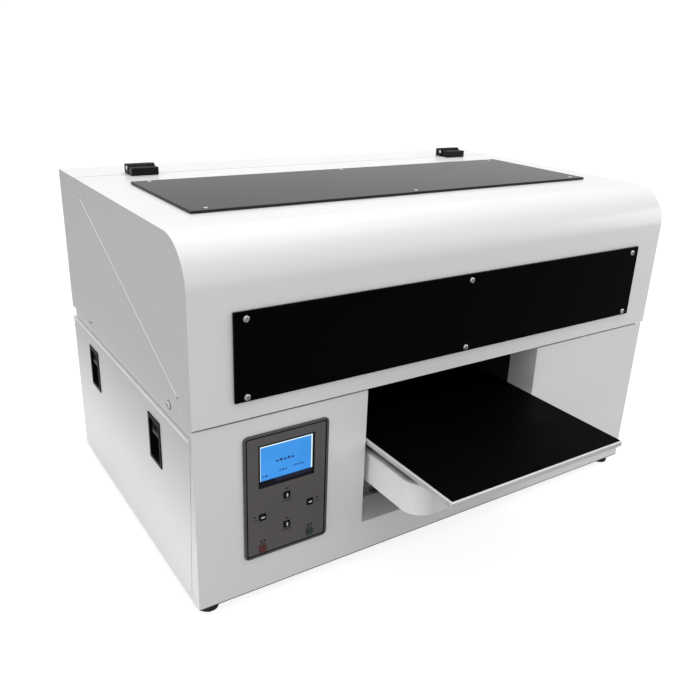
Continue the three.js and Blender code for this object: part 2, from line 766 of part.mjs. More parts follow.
function tableDriveShaft() {
  const flange = tableBelt.radius + 2;
  return join(
    rodX(tableBelt.y, tableBelt.z, 3, tableBelt.x0 - 12, tableMotorX + 25, 16),
    rodX(tableBelt.y, tableBelt.z, tableBelt.radius, tableBelt.x0 - 1, tableBelt.x1 + 1, 24),
    rodX(tableBelt.y, tableBelt.z, flange, tableBelt.x0 - 2, tableBelt.x0 - 0.6, 24),
    rodX(tableBelt.y, tableBelt.z, flange, tableBelt.x1 + 0.6, tableBelt.x1 + 2, 24),
  );
}

// Black walls line the tunnel that the table slides back into.
const tunnel = { y0: frontY + returnDepth + 1, y1: backY - 30, z0: 62, z1: 208, wall: 1.5 };
function tunnelLiner() {
  const x = openingX + 0.5 + tunnel.wall;
  return cut(
    block(-x, x, tunnel.y0, tunnel.y1, tunnel.z0, tunnel.z1),
    block(-x + tunnel.wall, x - tunnel.wall, tunnel.y0 - 1, tunnel.y1 - tunnel.wall,
      tunnel.z0 - 1, tunnel.z1 + 1));
}

// ---------------------------------------------------------------- supplies inside the base
function cappingStation() {
  const [x0, x1] = [head.x - 40, head.x + 40];
  const [y0, y1] = [head.y - 40, head.y + 40];
  const top = head.bottomZ - 2;
  return cut(
    join(
      block(x0, x1, y0, y1, 165, top),
      block(x0 + 15, x1 - 15, y0 + 15, y1 - 15, floorTopZ + gap, 166),
      block(x0 + 5, x1 - 5, y0 + 5, y1 - 5, floorTopZ + gap, floorTopZ + 4)),
    block(x0 + 10, x1 - 10, y0 + 10, y1 - 10, top - 8, top + 1),
  );
}

function mainboard() {
  const [x0, x1, y0, y1] = [-300, -165, 95, 250];
  const boardZ = 34;
  const chips = [[-280, 120, 26, 18], [-240, 150, 30, 8], [-210, 110, 22, 10],
    [-255, 205, 50, 14], [-190, 200, 14, 22]];
  const spacers = [[x0 + 8, y0 + 8], [x1 - 8, y0 + 8], [x0 + 8, y1 - 8], [x1 - 8, y1 - 8]];
  return join(
    block(x0, x1, y0, y1, boardZ, boardZ + 1.6),
    ...chips.map(([x, y, size, high]) => block(x, x + size, y, y + size, boardZ + 1,
      boardZ + high)),
    ...spacers.map(([x, y]) => rodZ(x, y, 4, floorTopZ + gap, boardZ + 0.5, 8)),
  );
}

function powerSupply() {
  const [x0, x1, y0, y1] = [205, 305, 95, 255];
  const terminals = 5;
  const pieces = [block(x0, x1, y0, y1, floorTopZ + gap, 62)];
  for (let i = 0; i < terminals; i += 1) {
    const x = x0 + 12 + i * 16;
    pieces.push(block(x, x + 12, y0 - 10, y0 + 1, floorTopZ + 6, floorTopZ + 22));
  }
  return join(...pieces);
}

const inkTank = { count: 6, pitch: 27, x0: -325, y0: -110, y1: -55, z1: 165 };
function inkTankBank() {
  const tray = block(inkTank.x0 - 4, inkTank.x0 + inkTank.count * inkTank.pitch + 2,
    inkTank.y0 - 4, inkTank.y1 + 4, floorTopZ + gap, floorTopZ + 12);
  const pieces = [tray];
  for (let i = 0; i < inkTank.count; i += 1) {
    const x = inkTank.x0 + i * inkTank.pitch;
    const middle = x + (inkTank.pitch - 3) / 2;
    pieces.push(block(x, x + inkTank.pitch - 3, inkTank.y0, inkTank.y1, floorTopZ + 10,
      inkTank.z1));
    pieces.push(rodZ(middle, (inkTank.y0 + inkTank.y1) / 2, 9, inkTank.z1 - 1,
      inkTank.z1 + 14, 14));
  }
  return join(...pieces);
}

// ---------------------------------------------------------------- exhaust fan
const fanHub = 16;
function fanFrame() {
  const y1 = backY - sheet - gap;
  const y0 = y1 - fan.depth;
  const strutDepth = 4;
  const face = rectangle(fan.x - fan.half, fan.x + fan.half, fan.z - fan.half,
    fan.z + fan.half);
  const pieces = [
    piercedY(face, [circle(fan.x, fan.z, fan.bore)], y0, y1, 8),
    rodY(fan.x, fan.z, fanHub, y0, y0 + strutDepth),
  ];
  for (let i = 0; i < 4; i += 1) {
    const arm = block(fanHub - 2, fan.bore + 2, y0, y0 + strutDepth, -2, 2);
    pieces.push(arm.rotateY(i * Math.PI / 2 + Math.PI / 4).translate(fan.x, 0, fan.z));
  }
  return join(...pieces);
}

const fanRotorY = { y0: backY - sheet - gap - fan.depth + 5, y1: backY - sheet - 3 };
function fanRotor() {
  const { y0, y1 } = fanRotorY;
  const middle = (y0 + y1) / 2;
  const blades = 7;
  const pieces = [rodY(0, 0, fanHub, y0, y1, 24)];
  for (let i = 0; i < blades; i += 1) {
    const blade = new THREE.BoxGeometry(fan.bore - fanHub, 1.4, 15);
    blade.rotateX(0.65).translate((fan.bore + fanHub) / 2 - 2, middle, 0);
    pieces.push(blade.rotateY(i * 2 * Math.PI / blades));
  }
  return join(...pieces);
}

// ---------------------------------------------------------------- assembly
addPart(base, 'base_floor_pan', baseFloorPan(), whitePaint);
addPart(base, 'base_front_panel', baseFrontPanel(), whitePaint);
addPart(base, 'left_side_panel', sidePanel(-1), whitePaint);
addPart(base, 'right_side_panel', sidePanel(1), whitePaint);
addPart(base, 'base_rear_panel', baseRearPanel(), whitePaint);
addPart(base, 'deck_frame', deckFrame(), whitePaint);
addPart(base, 'rear_housing', rearHousing(), whitePaint);
addPart(base, 'tunnel_liner', tunnelLiner(), blackPaint);

addPart(base, 'foot_front_left', foot(), blackRubber, -footPlace.x, footPlace.front);
addPart(base, 'foot_front_right', foot(), blackRubber, footPlace.x, footPlace.front);
addPart(base, 'foot_rear_left', foot(), blackRubber, -footPlace.x, footPlace.back);
addPart(base, 'foot_rear_right', foot(), blackRubber, footPlace.x, footPlace.back);

addPart(base, 'display_bezel', displayBezel(), darkGreyFilm);
addPart(base, 'control_board', controlBoard(), lcdBlue);
for (const [name, x, z] of buttons) {
  addPart(base, name, keyCap(), blackPlastic, x, frontY, z);
}

for (const [sideName, side] of [['left', -1], ['right', 1]]) {
  for (const [index, place] of ['front', 'rear'].entries()) {
    const y = latch.ys[index];
    addPart(base, `latch_housing_${sideName}_${place}`, latchHousing(side), blackPlastic,
      0, y, latch.z);
    addPart(base, `latch_slider_${sideName}_${place}`, latchSlider(side), darkGreyFilm,
      0, y, latch.z);
  }
}

addPart(base, 'power_inlet', powerInlet(), blackPlastic, inlet.x, backY, inlet.z);
addPart(base, 'power_switch', powerSwitch(), redPlastic, inlet.x, backY + rockerPivot.y,
  inlet.z + rockerPivot.z);
addPart(base, 'fan_frame', fanFrame(), blackPlastic);
addPart(base, 'fan_rotor', fanRotor(), blackPlastic, fan.x, 0, fan.z);

for (const [index, sideName] of ['left', 'right'].entries()) {
  const x = hinge.xs[index];
  addPart(base, `hinge_base_leaf_${sideName}`, hingeBaseLeaf(), blackPlastic, x, hinge.y,
    hinge.z);
  addPart(lid, `hinge_lid_leaf_${sideName}`, hingeLidLeaf(), blackPlastic, x, hinge.y,
    hinge.z);
}
addPart(lid, 'lid_shell', lidShell(), whitePaint);
addPart(lid, 'front_window', frontWindow(), blackAcrylic);
addPart(lid, 'top_window', topWindow(), smokedAcrylic);

addPart(base, 'gantry_frame', gantryFrame(), aluminium);
addPart(base, 'carriage_belt', carriageBelt(), blackRubber);
addPart(base, 'carriage_motor', carriageMotor(), blackPlastic, drive.x, 0, drive.z);
addPart(base, 'carriage_motor_pulley', carriageMotorPulley(), aluminium, drive.x, 0, drive.z);
addPart(base, 'carriage_idler_pulley', carriageIdlerPulley(), aluminium, -drive.x, 0, drive.z);
addPart(headSlide, 'printhead_carriage', printheadCarriage(), greyPaint);
addPart(headSlide, 'print_head', printHead(), blackPlastic);
addPart(headSlide, 'uv_lamp', uvLamp(), blackPaint);

addPart(base, 'table_rail_left', tableRail(-railX), steel);
addPart(base, 'table_rail_right', tableRail(railX), steel);
addPart(base, 'table_motor', tableMotor(), blackPlastic);
addPart(base, 'table_drive_shaft', tableDriveShaft(), steel);
addPart(tableSlide, 'table_carriage', tableCarriage(), aluminium);
addPart(tableSlide, 'lift_screw', liftScrewRod(), steel);
addPart(tableTop, 'table_housing', tableHousing(), whitePaint);
addPart(tableTop, 'table_plate', tablePlate(), aluminium);
addPart(tableTop, 'table_mat', tableMat(), blackRubber);

addPart(base, 'capping_station', cappingStation(), greyPaint);
addPart(base, 'mainboard', mainboard(), greenBoard);
addPart(base, 'power_supply', powerSupply(), steel);
addPart(base, 'ink_tank_bank', inkTankBank(), inkTankPlastic);

export default printer;
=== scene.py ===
import json
import math

import bmesh
import bpy
from mathutils import Matrix, Vector

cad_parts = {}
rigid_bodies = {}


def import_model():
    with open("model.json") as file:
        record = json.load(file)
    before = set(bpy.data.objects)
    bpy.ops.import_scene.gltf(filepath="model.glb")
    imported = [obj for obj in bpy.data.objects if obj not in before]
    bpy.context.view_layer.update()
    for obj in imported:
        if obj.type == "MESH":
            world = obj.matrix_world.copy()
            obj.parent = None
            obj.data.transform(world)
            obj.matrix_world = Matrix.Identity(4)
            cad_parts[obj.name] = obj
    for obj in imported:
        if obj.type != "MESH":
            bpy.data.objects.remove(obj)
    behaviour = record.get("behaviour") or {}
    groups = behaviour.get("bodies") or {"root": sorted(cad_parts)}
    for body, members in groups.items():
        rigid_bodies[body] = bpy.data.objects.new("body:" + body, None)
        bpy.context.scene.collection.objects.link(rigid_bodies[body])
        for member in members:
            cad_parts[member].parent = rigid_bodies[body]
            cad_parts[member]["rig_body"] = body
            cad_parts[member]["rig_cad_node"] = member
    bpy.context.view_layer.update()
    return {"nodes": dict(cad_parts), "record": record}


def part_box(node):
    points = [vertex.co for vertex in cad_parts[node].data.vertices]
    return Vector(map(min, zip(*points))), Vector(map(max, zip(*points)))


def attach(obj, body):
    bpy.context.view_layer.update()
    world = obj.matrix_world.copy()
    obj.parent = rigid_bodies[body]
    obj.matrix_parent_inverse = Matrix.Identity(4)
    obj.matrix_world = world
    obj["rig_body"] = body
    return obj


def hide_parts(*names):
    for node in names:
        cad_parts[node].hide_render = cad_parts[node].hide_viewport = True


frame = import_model()
nodes = frame["nodes"]
record = frame["record"]
body_of_node = {n: body for body, members in record["behaviour"]["bodies"].items() for n in members}
slot_of_node = {row["node"]: row["material_slot"] for row in record["subparts"]}

MM = 0.001
TOUCH = 0.01 * MM
MERGE_DISTANCE = 0.01 * MM
MOSTLY = 0.9
SIDES = (("left", -1), ("right", 1))
WHITE = (1.0, 1.0, 1.0, 1.0)


def set_inputs(node, **values):
    """Sets sockets by name, with an underscore for each space in the name."""
    for label, value in values.items():
        node.inputs[label.replace("_", " ")].default_value = value


def wire(tree, start, output, end, socket):
    tree.links.new(start.outputs[output], end.inputs[socket])


# ---------------------------------------------------------------- camera, light and floor
def add_camera():
    yaw, dip, roll = math.radians(34.11), math.radians(21.96), math.radians(2.30)
    ahead = Vector((math.sin(yaw) * math.cos(dip), math.cos(yaw) * math.cos(dip), -math.sin(dip)))
    level = Vector((math.cos(yaw), -math.sin(yaw), 0.0))
    rise = level.cross(ahead)
    right = math.cos(roll) * level + math.sin(roll) * rise
    up = math.cos(roll) * rise - math.sin(roll) * level
    turn = Matrix((right, up, -ahead)).transposed().to_4x4()
    data = bpy.data.cameras.new("studio_camera")
    data.lens = 39.12
    data.sensor_width = 36.0
    camera = bpy.data.objects.new("studio_camera", data)
    bpy.context.scene.collection.objects.link(camera)
    camera.matrix_world = Matrix.Translation((-0.5955, -0.7789, 0.5969)) @ turn
    bpy.context.scene.camera = camera


def add_area_light(name, place, target, size, energy, spread=180.0):
    data = bpy.data.lights.new(name, "AREA")
    data.shape = "RECTANGLE"
    data.size, data.size_y = size
    data.energy = energy
    data.spread = math.radians(spread)
    light = bpy.data.objects.new(name, data)
    light.visible_camera = False
    bpy.context.scene.collection.objects.link(light)
    aim = (Vector(target) - Vector(place)).to_track_quat("-Z", "Y")
    light.matrix_world = Matrix.Translation(place) @ aim.to_matrix().to_4x4()


def add_studio():
    """A plain white surround that itself gives only a little of the light."""
    world = bpy.data.worlds.new("studio_world")
    world.use_nodes = True
    tree = world.node_tree
    surround = tree.nodes["Background"]
    set_inputs(surround, Color=WHITE, Strength=1.05)
    fill = tree.nodes.new("ShaderNodeBackground")
    set_inputs(fill, Color=WHITE, Strength=0.70)
    ray = tree.nodes.new("ShaderNodeLightPath")
    choice = tree.nodes.new("ShaderNodeMixShader")
    wire(tree, ray, "Is Camera Ray", choice, "Fac")
    wire(tree, fill, "Background", choice, 1)
    wire(tree, surround, "Background", choice, 2)
    wire(tree, choice, "Shader", tree.nodes["World Output"], "Surface")
    bpy.context.scene.world = world
    bpy.context.scene.view_settings.view_transform = "Standard"
    add_area_light("overhead_softbox", (0.2, 0.15, 2.6), (0.0, 0.05, 0.2), (2.6, 2.0), 20.0)
    add_area_light("rear_softbox", (0.4, 1.6, 2.3), (0.0, 0.1, 0.2), (2.6, 1.4), 22.0)
    add_area_light("front_top_softbox", (0.1, -1.3, 2.3), (0.0, 0.0, 0.2), (2.0, 1.2), 2.7)
    add_area_light("right_softbox", (2.4, -1.2, 0.7), (0.1, 0.0, 0.2), (1.0, 1.2), 9.5)
    add_area_light("front_softbox", (-0.2, -2.4, 0.6), (0.0, 0.0, 0.2), (1.6, 0.8), 2.9)
    add_area_light("left_low_strip", (-0.95, 0.02, 0.07), (-0.35, 0.02, 0.05), (1.0, 0.12), 0.34,
                   34.0)
    for index, (y, z) in enumerate(((-0.75, 2.2), (-1.35, 1.75), (-1.9, 1.3))):
        add_area_light(f"ceiling_strip_{index}", (0.3, y, z), (0.1, -0.1, 0.4), (3.4, 0.07), 0.6)


def add_floor():
    """A pale light table: the view takes it as white, and little shadow shows on it."""
    bpy.ops.object.select_all(action="DESELECT")
    bpy.ops.mesh.primitive_circle_add(vertices=96, radius=9.0, fill_type="NGON")
    floor = bpy.context.object
    floor.name = "studio_floor"
    material, tree, shader = new_material("studio_floor_sheet")
    set_inputs(shader, Base_Color=(0.36, 0.36, 0.36, 1.0), Roughness=0.95, Specular_IOR_Level=0.0,
               Emission_Color=WHITE, Emission_Strength=0.02)
    glow = tree.nodes.new("ShaderNodeEmission")
    set_inputs(glow, Strength=0.80)
    ray = tree.nodes.new("ShaderNodeLightPath")
    camera_glow = tree.nodes.new("ShaderNodeMixShader")
    both = tree.nodes.new("ShaderNodeAddShader")
    wire(tree, ray, "Is Camera Ray", camera_glow, "Fac")
    wire(tree, glow, "Emission", camera_glow, 2)
    wire(tree, shader, "BSDF", both, 0)
    wire(tree, camera_glow, "Shader", both, 1)
    wire(tree, both, "Shader", tree.nodes["Material Output"], "Surface")
    floor.data.materials.append(material)


# ---------------------------------------------------------------- shader node groups
def new_group(name, inputs, output, output_type):
    group = bpy.data.node_groups.new(name, "ShaderNodeTree")
    for label, kind, value in inputs:
        socket = group.interface.new_socket(name=label, in_out="INPUT", socket_type=kind)
        socket.default_value = value
    group.interface.new_socket(name=output, in_out="OUTPUT", socket_type=output_type)
    entry = group.nodes.new("NodeGroupInput")
    leave = group.nodes.new("NodeGroupOutput")
    return group, entry, leave


def object_noise(group, scale_socket, detail):
    place = group.nodes.new("ShaderNodeTexCoord")
    noise = group.nodes.new("ShaderNodeTexNoise")
    set_inputs(noise, Detail=detail)
    wire(group, place, "Object", noise, "Vector")
    group.links.new(scale_socket, noise.inputs["Scale"])
    return noise.outputs["Fac"]


def product(group, first, second, clamp=False):
    node = group.nodes.new("ShaderNodeMath")
    node.operation = "MULTIPLY"
    node.use_clamp = clamp
    group.links.new(first, node.inputs[0])
    group.links.new(second, node.inputs[1])
    return node.outputs["Value"]


def make_mottle_group():
    """A slow, cloudy change between two values, for roughness that isn't even."""
    group, entry, leave = new_group("mottle", [
        ("Scale", "NodeSocketFloat", 12.0),
        ("Low", "NodeSocketFloat", 0.3),
        ("High", "NodeSocketFloat", 0.5)], "Value", "NodeSocketFloat")
    cloud = object_noise(group, entry.outputs["Scale"], 3.0)
    spread = group.nodes.new("ShaderNodeMapRange")
    spread.interpolation_type = "SMOOTHSTEP"
    set_inputs(spread, From_Min=0.25, From_Max=0.75)
    group.links.new(cloud, spread.inputs["Value"])
    wire(group, entry, "Low", spread, "To Min")
    wire(group, entry, "High", spread, "To Max")
    wire(group, spread, "Result", leave, "Value")
    return group


def make_grain_group():
    """Fine surface relief: orange peel in paint, or the grain of a mould."""
    group, entry, leave = new_group("grain", [
        ("Scale", "NodeSocketFloat", 600.0),
        ("Strength", "NodeSocketFloat", 0.1),
        ("Depth", "NodeSocketFloat", 0.0002)], "Normal", "NodeSocketVector")
    relief = object_noise(group, entry.outputs["Scale"], 2.0)
    bump = group.nodes.new("ShaderNodeBump")
    group.links.new(relief, bump.inputs["Height"])
    wire(group, entry, "Strength", bump, "Strength")
    wire(group, entry, "Depth", bump, "Distance")
    wire(group, bump, "Normal", leave, "Normal")
    return group


def make_wear_group():
    """A mask that is 1 where an outer edge has been rubbed, broken up by noise."""
    group, entry, leave = new_group("edge_wear", [
        ("Scale", "NodeSocketFloat", 60.0),
        ("Amount", "NodeSocketFloat", 0.5)], "Mask", "NodeSocketFloat")
    surface = group.nodes.new("ShaderNodeNewGeometry")
    sharp = group.nodes.new("ShaderNodeMapRange")
    set_inputs(sharp, From_Min=0.52, From_Max=0.62)
    wire(group, surface, "Pointiness", sharp, "Value")
    cloud = object_noise(group, entry.outputs["Scale"], 4.0)
    broken = product(group, sharp.outputs["Result"], cloud)
    worn = product(group, broken, entry.outputs["Amount"], clamp=True)
    group.links.new(worn, leave.inputs["Mask"])
    return group


def make_dust_group():
    """A mask of light dust that settles on faces that look up."""
    group, entry, leave = new_group("dust", [
        ("Scale", "NodeSocketFloat", 90.0),
        ("Amount", "NodeSocketFloat", 0.1)], "Mask", "NodeSocketFloat")
    surface = group.nodes.new("ShaderNodeNewGeometry")
    parts = group.nodes.new("ShaderNodeSeparateXYZ")
    wire(group, surface, "Normal", parts, "Vector")
    cloud = object_noise(group, entry.outputs["Scale"], 6.0)
    looks_up = product(group, parts.outputs["Z"], cloud, clamp=True)
    dusty = product(group, looks_up, entry.outputs["Amount"])
    group.links.new(dusty, leave.inputs["Mask"])
    return group


groups = {
    "mottle": make_mottle_group(),
    "grain": make_grain_group(),
    "edge_wear": make_wear_group(),
    "dust": make_dust_group(),
}


# ---------------------------------------------------------------- materials
def new_material(name):
    material = bpy.data.materials.new(name)
    material.use_nodes = True
    tree = material.node_tree
    return material, tree, tree.nodes["Principled BSDF"]


def use_group(tree, name, **values):
    node = tree.nodes.new("ShaderNodeGroup")
    node.node_tree = groups[name]
    set_inputs(node, **values)
    return node


def blend_colors(tree, mask, first, second):
    """A colour that goes from first to second as the mask goes from 0 to 1."""
    mix = tree.nodes.new("ShaderNodeMix")
    mix.data_type = "RGBA"
    set_inputs(mix, A=(*first, 1.0), B=(*second, 1.0))
    tree.links.new(mask, mix.inputs["Factor"])
    return mix.outputs["Result"]


def cover(tree, mask, under, color):
    """A colour that hides what lies under it where the mask is 1."""
    mix = tree.nodes.new("ShaderNodeMix")
    mix.data_type = "RGBA"
    set_inputs(mix, B=(*color, 1.0))
    tree.links.new(mask, mix.inputs["Factor"])
    tree.links.new(under, mix.inputs["A"])
    return mix.outputs["Result"]


def surface(name, color, rough, grain, metallic=0.0, tint=0.9, wear=None, dust=None, coat=0.0,
            gloss=0.5):
    """A finish with cloudy roughness, relief, slight colour change, worn edges and dust.

    rough is (low, high), grain is (scale, strength, depth in metres), wear and dust are
    (scale, amount, colour)."""
    material, tree, shader = new_material(name)
    mottle = use_group(tree, "mottle", Scale=14.0, Low=rough[0], High=rough[1])
    wire(tree, mottle, "Value", shader, "Roughness")
    relief = use_group(tree, "grain", Scale=grain[0], Strength=grain[1], Depth=grain[2])
    wire(tree, relief, "Normal", shader, "Normal")
    drift = use_group(tree, "mottle", Scale=5.0, Low=0.0, High=1.0)
    deeper = tuple(c * tint for c in color)
    result = blend_colors(tree, drift.outputs["Value"], color, deeper)
    for effect, kind in ((wear, "edge_wear"), (dust, "dust")):
        if effect is not None:
            scale, amount, layer = effect
            mask = use_group(tree, kind, Scale=scale, Amount=amount)
            result = cover(tree, mask.outputs["Mask"], result, layer)
    tree.links.new(result, shader.inputs["Base Color"])
    set_inputs(shader, Metallic=metallic, Specular_IOR_Level=gloss, Coat_Weight=coat,
               Coat_Roughness=0.12)
    return material


def glowing(name, color, strength, rough=0.25):
    material, tree, shader = new_material(name)
    drift = use_group(tree, "mottle", Scale=30.0, Low=0.0, High=1.0)
    lighter = tuple(min(1.0, c * 1.12 + 0.01) for c in color)
    shade = blend_colors(tree, drift.outputs["Value"], color, lighter)
    tree.links.new(shade, shader.inputs["Emission Color"])
    set_inputs(shader, Base_Color=(*(c * 0.12 for c in color), 1.0), Emission_Strength=strength,
               Roughness=rough)
    return material


def brushed(name, color, rough, stretch):
    """Metal with fine lines drawn along one axis."""
    material, tree, shader = new_material(name)
    place = tree.nodes.new("ShaderNodeTexCoord")
    squeeze = tree.nodes.new("ShaderNodeMapping")
    set_inputs(squeeze, Scale=stretch)
    lines = tree.nodes.new("ShaderNodeTexNoise")
    set_inputs(lines, Scale=900.0, Detail=2.0)
    wire(tree, place, "Object", squeeze, "Vector")
    wire(tree, squeeze, "Vector", lines, "Vector")
    bump = tree.nodes.new("ShaderNodeBump")
    set_inputs(bump, Strength=0.12, Distance=0.0002)
    wire(tree, lines, "Fac", bump, "Height")
    wire(tree, bump, "Normal", shader, "Normal")
    mottle = use_group(tree, "mottle", Scale=20.0, Low=rough[0], High=rough[1])
    wire(tree, mottle, "Value", shader, "Roughness")
    dark = tuple(c * 0.82 for c in color)
    shade = blend_colors(tree, lines.outputs["Fac"], dark, color)
    wear = use_group(tree, "edge_wear", Scale=40.0, Amount=1.2)
    bright = cover(tree, wear.outputs["Mask"], shade, (0.95, 0.95, 0.96))
    tree.links.new(bright, shader.inputs["Base Color"])
    set_inputs(shader, Metallic=1.0)
    return material


GREY_DUST = (0.55, 0.54, 0.52)
PEEL = (260.0, 0.05, 0.0002)
MOULD = (1500.0, 0.25, 0.0001)
finishes = {
    "white_paint": surface("white_powder_coat", (0.82, 0.82, 0.825), (0.30, 0.36), PEEL,
                           tint=0.998, coat=0.3),
    "grey_paint": surface("grey_powder_coat", (0.32, 0.32, 0.33), (0.38, 0.52), PEEL),
    "black_paint": surface("matt_black_paint", (0.006, 0.006, 0.0065), (0.75, 0.9), PEEL),
    "black_plastic": surface("black_moulded_plastic", (0.005, 0.005, 0.0055), (0.30, 0.45), MOULD,
                             wear=(80.0, 0.3, (0.02, 0.02, 0.02)), gloss=0.12),
    "latch_plastic": surface("latch_tongue_plastic", (0.045, 0.045, 0.047), (0.3, 0.45), MOULD,
                             wear=(80.0, 0.5, (0.14, 0.14, 0.14))),
    "grey_film": surface("keypad_film", (0.108, 0.098, 0.100), (0.42, 0.55), MOULD,
                         dust=(200.0, 0.03, GREY_DUST)),
    "black_acrylic": surface("black_acrylic_sheet", (0.0012, 0.0012, 0.0014), (0.05, 0.12),
                             (300.0, 0.01, 0.0001), gloss=0.03),
    "smoked_acrylic": surface("smoked_acrylic_sheet", (0.032, 0.027, 0.033), (0.06, 0.12),
                              (300.0, 0.01, 0.0001), dust=(400.0, 0.02, GREY_DUST),
                              gloss=0.055),
    "black_rubber": surface("black_rubber", (0.010, 0.010, 0.010), (0.65, 0.85), MOULD,
                            dust=(150.0, 0.1, GREY_DUST)),
    "mat_rubber": surface("table_mat_rubber", (0.0012, 0.0012, 0.0013), (0.42, 0.6),
                          (2200.0, 0.2, 0.0001), gloss=0.02),
    "steel": brushed("ground_steel", (0.56, 0.56, 0.57), (0.28, 0.36), (0.05, 1.0, 1.0)),
    "aluminium": brushed("brushed_aluminium", (0.84, 0.84, 0.85), (0.30, 0.42), (0.03, 1.0, 1.0)),
    "circuit_board": surface("solder_mask", (0.012, 0.12, 0.045), (0.25, 0.4), MOULD,
                             dust=(80.0, 0.15, GREY_DUST)),
    "ink_tank_plastic": surface("tank_plastic", (0.70, 0.72, 0.74), (0.2, 0.35), MOULD),
    "red_plastic": surface("red_rocker_plastic", (0.42, 0.015, 0.012), (0.18, 0.25), MOULD,
                           coat=0.3),
    "lcd_screen": surface("screen_housing", (0.004, 0.005, 0.009), (0.29, 0.38), MOULD,
                          gloss=0.2),
}
extras = {
    # A lighter, glossier copy of the white paint; its extra lightness is a painted highlight for the
    # bright lines of the hems and the seam's slope.
    "highlight_enamel": surface("glossy_white_painted_highlight", (0.90, 0.90, 0.90), (0.20, 0.26), PEEL,
                            tint=0.998, coat=1.0),
    "anodised_plate": surface("satin_anodised_plate", (0.66, 0.66, 0.665), (0.30, 0.40), MOULD,
                              metallic=0.15, tint=0.96),
    # A dark grey that is painted shade: the shadow line under the front panel and the shade under the
    # table plate.
    "shade_paint": surface("dark_painted_shade", (0.10, 0.10, 0.10), (0.5, 0.6), PEEL),
    "keypad_rim": surface("keypad_rim", (0.082, 0.080, 0.078), (0.3, 0.45), MOULD,
                          wear=(90.0, 0.4, (0.22, 0.22, 0.22))),
    "keypad_groove": surface("keypad_groove", (0.002, 0.002, 0.002), (0.5, 0.7), MOULD, gloss=0.1),
    "key_black": surface("key_cap_black", (0.003, 0.003, 0.003), (0.35, 0.5), MOULD, gloss=0.15),
    "key_red": surface("escape_key_red", (0.085, 0.026, 0.030), (0.4, 0.5), MOULD),
    "key_green": surface("enter_key_green", (0.028, 0.046, 0.036), (0.4, 0.5), MOULD),
    "screen_navy": surface("screen_navy_band", (0.004, 0.008, 0.045), (0.2, 0.3), MOULD),
    "screen_glow": glowing("screen_backlight", (0.035, 0.27, 0.74), 0.95),
    "screen_edge": glowing("screen_edge_light", (0.75, 0.92, 1.0), 1.0),
    "screen_ink": glowing("screen_dots", (0.010, 0.09, 0.40), 0.4),
    "white_ink": surface("white_key_print", (0.85, 0.85, 0.84), (0.4, 0.5), MOULD),
    "dark_ink": surface("dark_key_print", (0.010, 0.009, 0.009), (0.45, 0.55), MOULD, gloss=0.2),
    "red_ink": surface("red_key_print", (0.13, 0.010, 0.016), (0.4, 0.5), MOULD),
    "green_ink": surface("green_key_print", (0.004, 0.032, 0.014), (0.4, 0.5), MOULD),
    "screw_steel": brushed("screw_steel", (0.62, 0.62, 0.63), (0.16, 0.24), (1.0, 1.0, 1.0)),
    # A lighter colour for the plate's top rim: partly a glossy polished chamfer, partly a painted
    # highlight for the bright edge line.
    "rim_highlight": surface("polished_rim_painted_highlight", (0.90, 0.90, 0.90), (0.28, 0.34), MOULD, coat=0.5),
    "brass": brushed("bare_brass", (0.72, 0.50, 0.22), (0.2, 0.35), (1.0, 1.0, 1.0)),
}


# ---------------------------------------------------------------- modelling tools
def deselect():
    if bpy.context.mode != "OBJECT":
        bpy.ops.object.mode_set(mode="OBJECT")
    bpy.ops.object.select_all(action="DESELECT")


def take(piece):
    deselect()
    piece.select_set(True)
    bpy.context.view_layer.objects.active = piece


def start_box(name, low, high):
    """A box from corner to corner, whose place is in its mesh."""
    deselect()
    low, high = Vector(low), Vector(high)
    bpy.ops.mesh.primitive_cube_add(size=1.0, location=(low + high) / 2)
    piece = bpy.context.object
    piece.name = name
    piece.scale = high - low
    bpy.ops.object.transform_apply(location=True, rotation=True, scale=True)
    return piece


TURNS = {"X": (0.0, math.pi / 2, 0.0), "Y": (math.pi / 2, 0.0, 0.0), "Z": (0.0, 0.0, 0.0)}


def slab(name, centre, half_wide, half_tall, front_y, back_y):
    """A box round a centre in x and z, between two planes of y."""
    return start_box(name, (centre.x - half_wide, front_y, centre.z - half_tall),
                     (centre.x + half_wide, back_y, centre.z + half_tall))


def middle_of(node):
    low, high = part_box(node)
    return (low + high) / 2


def start_rod(name, centre, radius, length, axis, sides=32, ends="NGON"):
    deselect()
    bpy.ops.mesh.primitive_cylinder_add(vertices=sides, radius=radius, depth=length,
                                        end_fill_type=ends, location=centre,
                                        rotation=TURNS[axis])
    piece = bpy.context.object
    piece.name = name
    bpy.ops.object.transform_apply(location=True, rotation=True, scale=True)
    return piece


def select_where(piece, kind, test):
    """In edit mode, selects exactly the verts, edges or faces that pass the test."""
    take(piece)
    bpy.ops.object.mode_set(mode="EDIT")
    bpy.ops.mesh.select_mode(type={"verts": "VERT", "edges": "EDGE", "faces": "FACE"}[kind])
    bpy.ops.mesh.select_all(action="DESELECT")
    mesh = bmesh.from_edit_mesh(piece.data)
    for item in getattr(mesh, kind):
        item.select_set(test(item))
    mesh.select_flush_mode()
    bmesh.update_edit_mesh(piece.data)


def middle(edge):
    return (edge.verts[0].co + edge.verts[1].co) / 2


def runs_along(edge, axis):
    span = edge.verts[1].co - edge.verts[0].co
    return abs(span[axis]) > 0.999 * span.length


def lies_at(axis, level):
    """A test for edges that lie wholly at one level of an axis."""
    return lambda edge: all(abs(vert.co[axis] - level) < TOUCH for vert in edge.verts)


def leave_edit():
    bpy.ops.object.mode_set(mode="OBJECT")


def apply_modifier(piece, kind, **settings):
    modifier = piece.modifiers.new(kind.lower(), kind)
    for name, value in settings.items():
        setattr(modifier, name, value)
    take(piece)
    bpy.ops.object.modifier_apply(modifier=modifier.name)


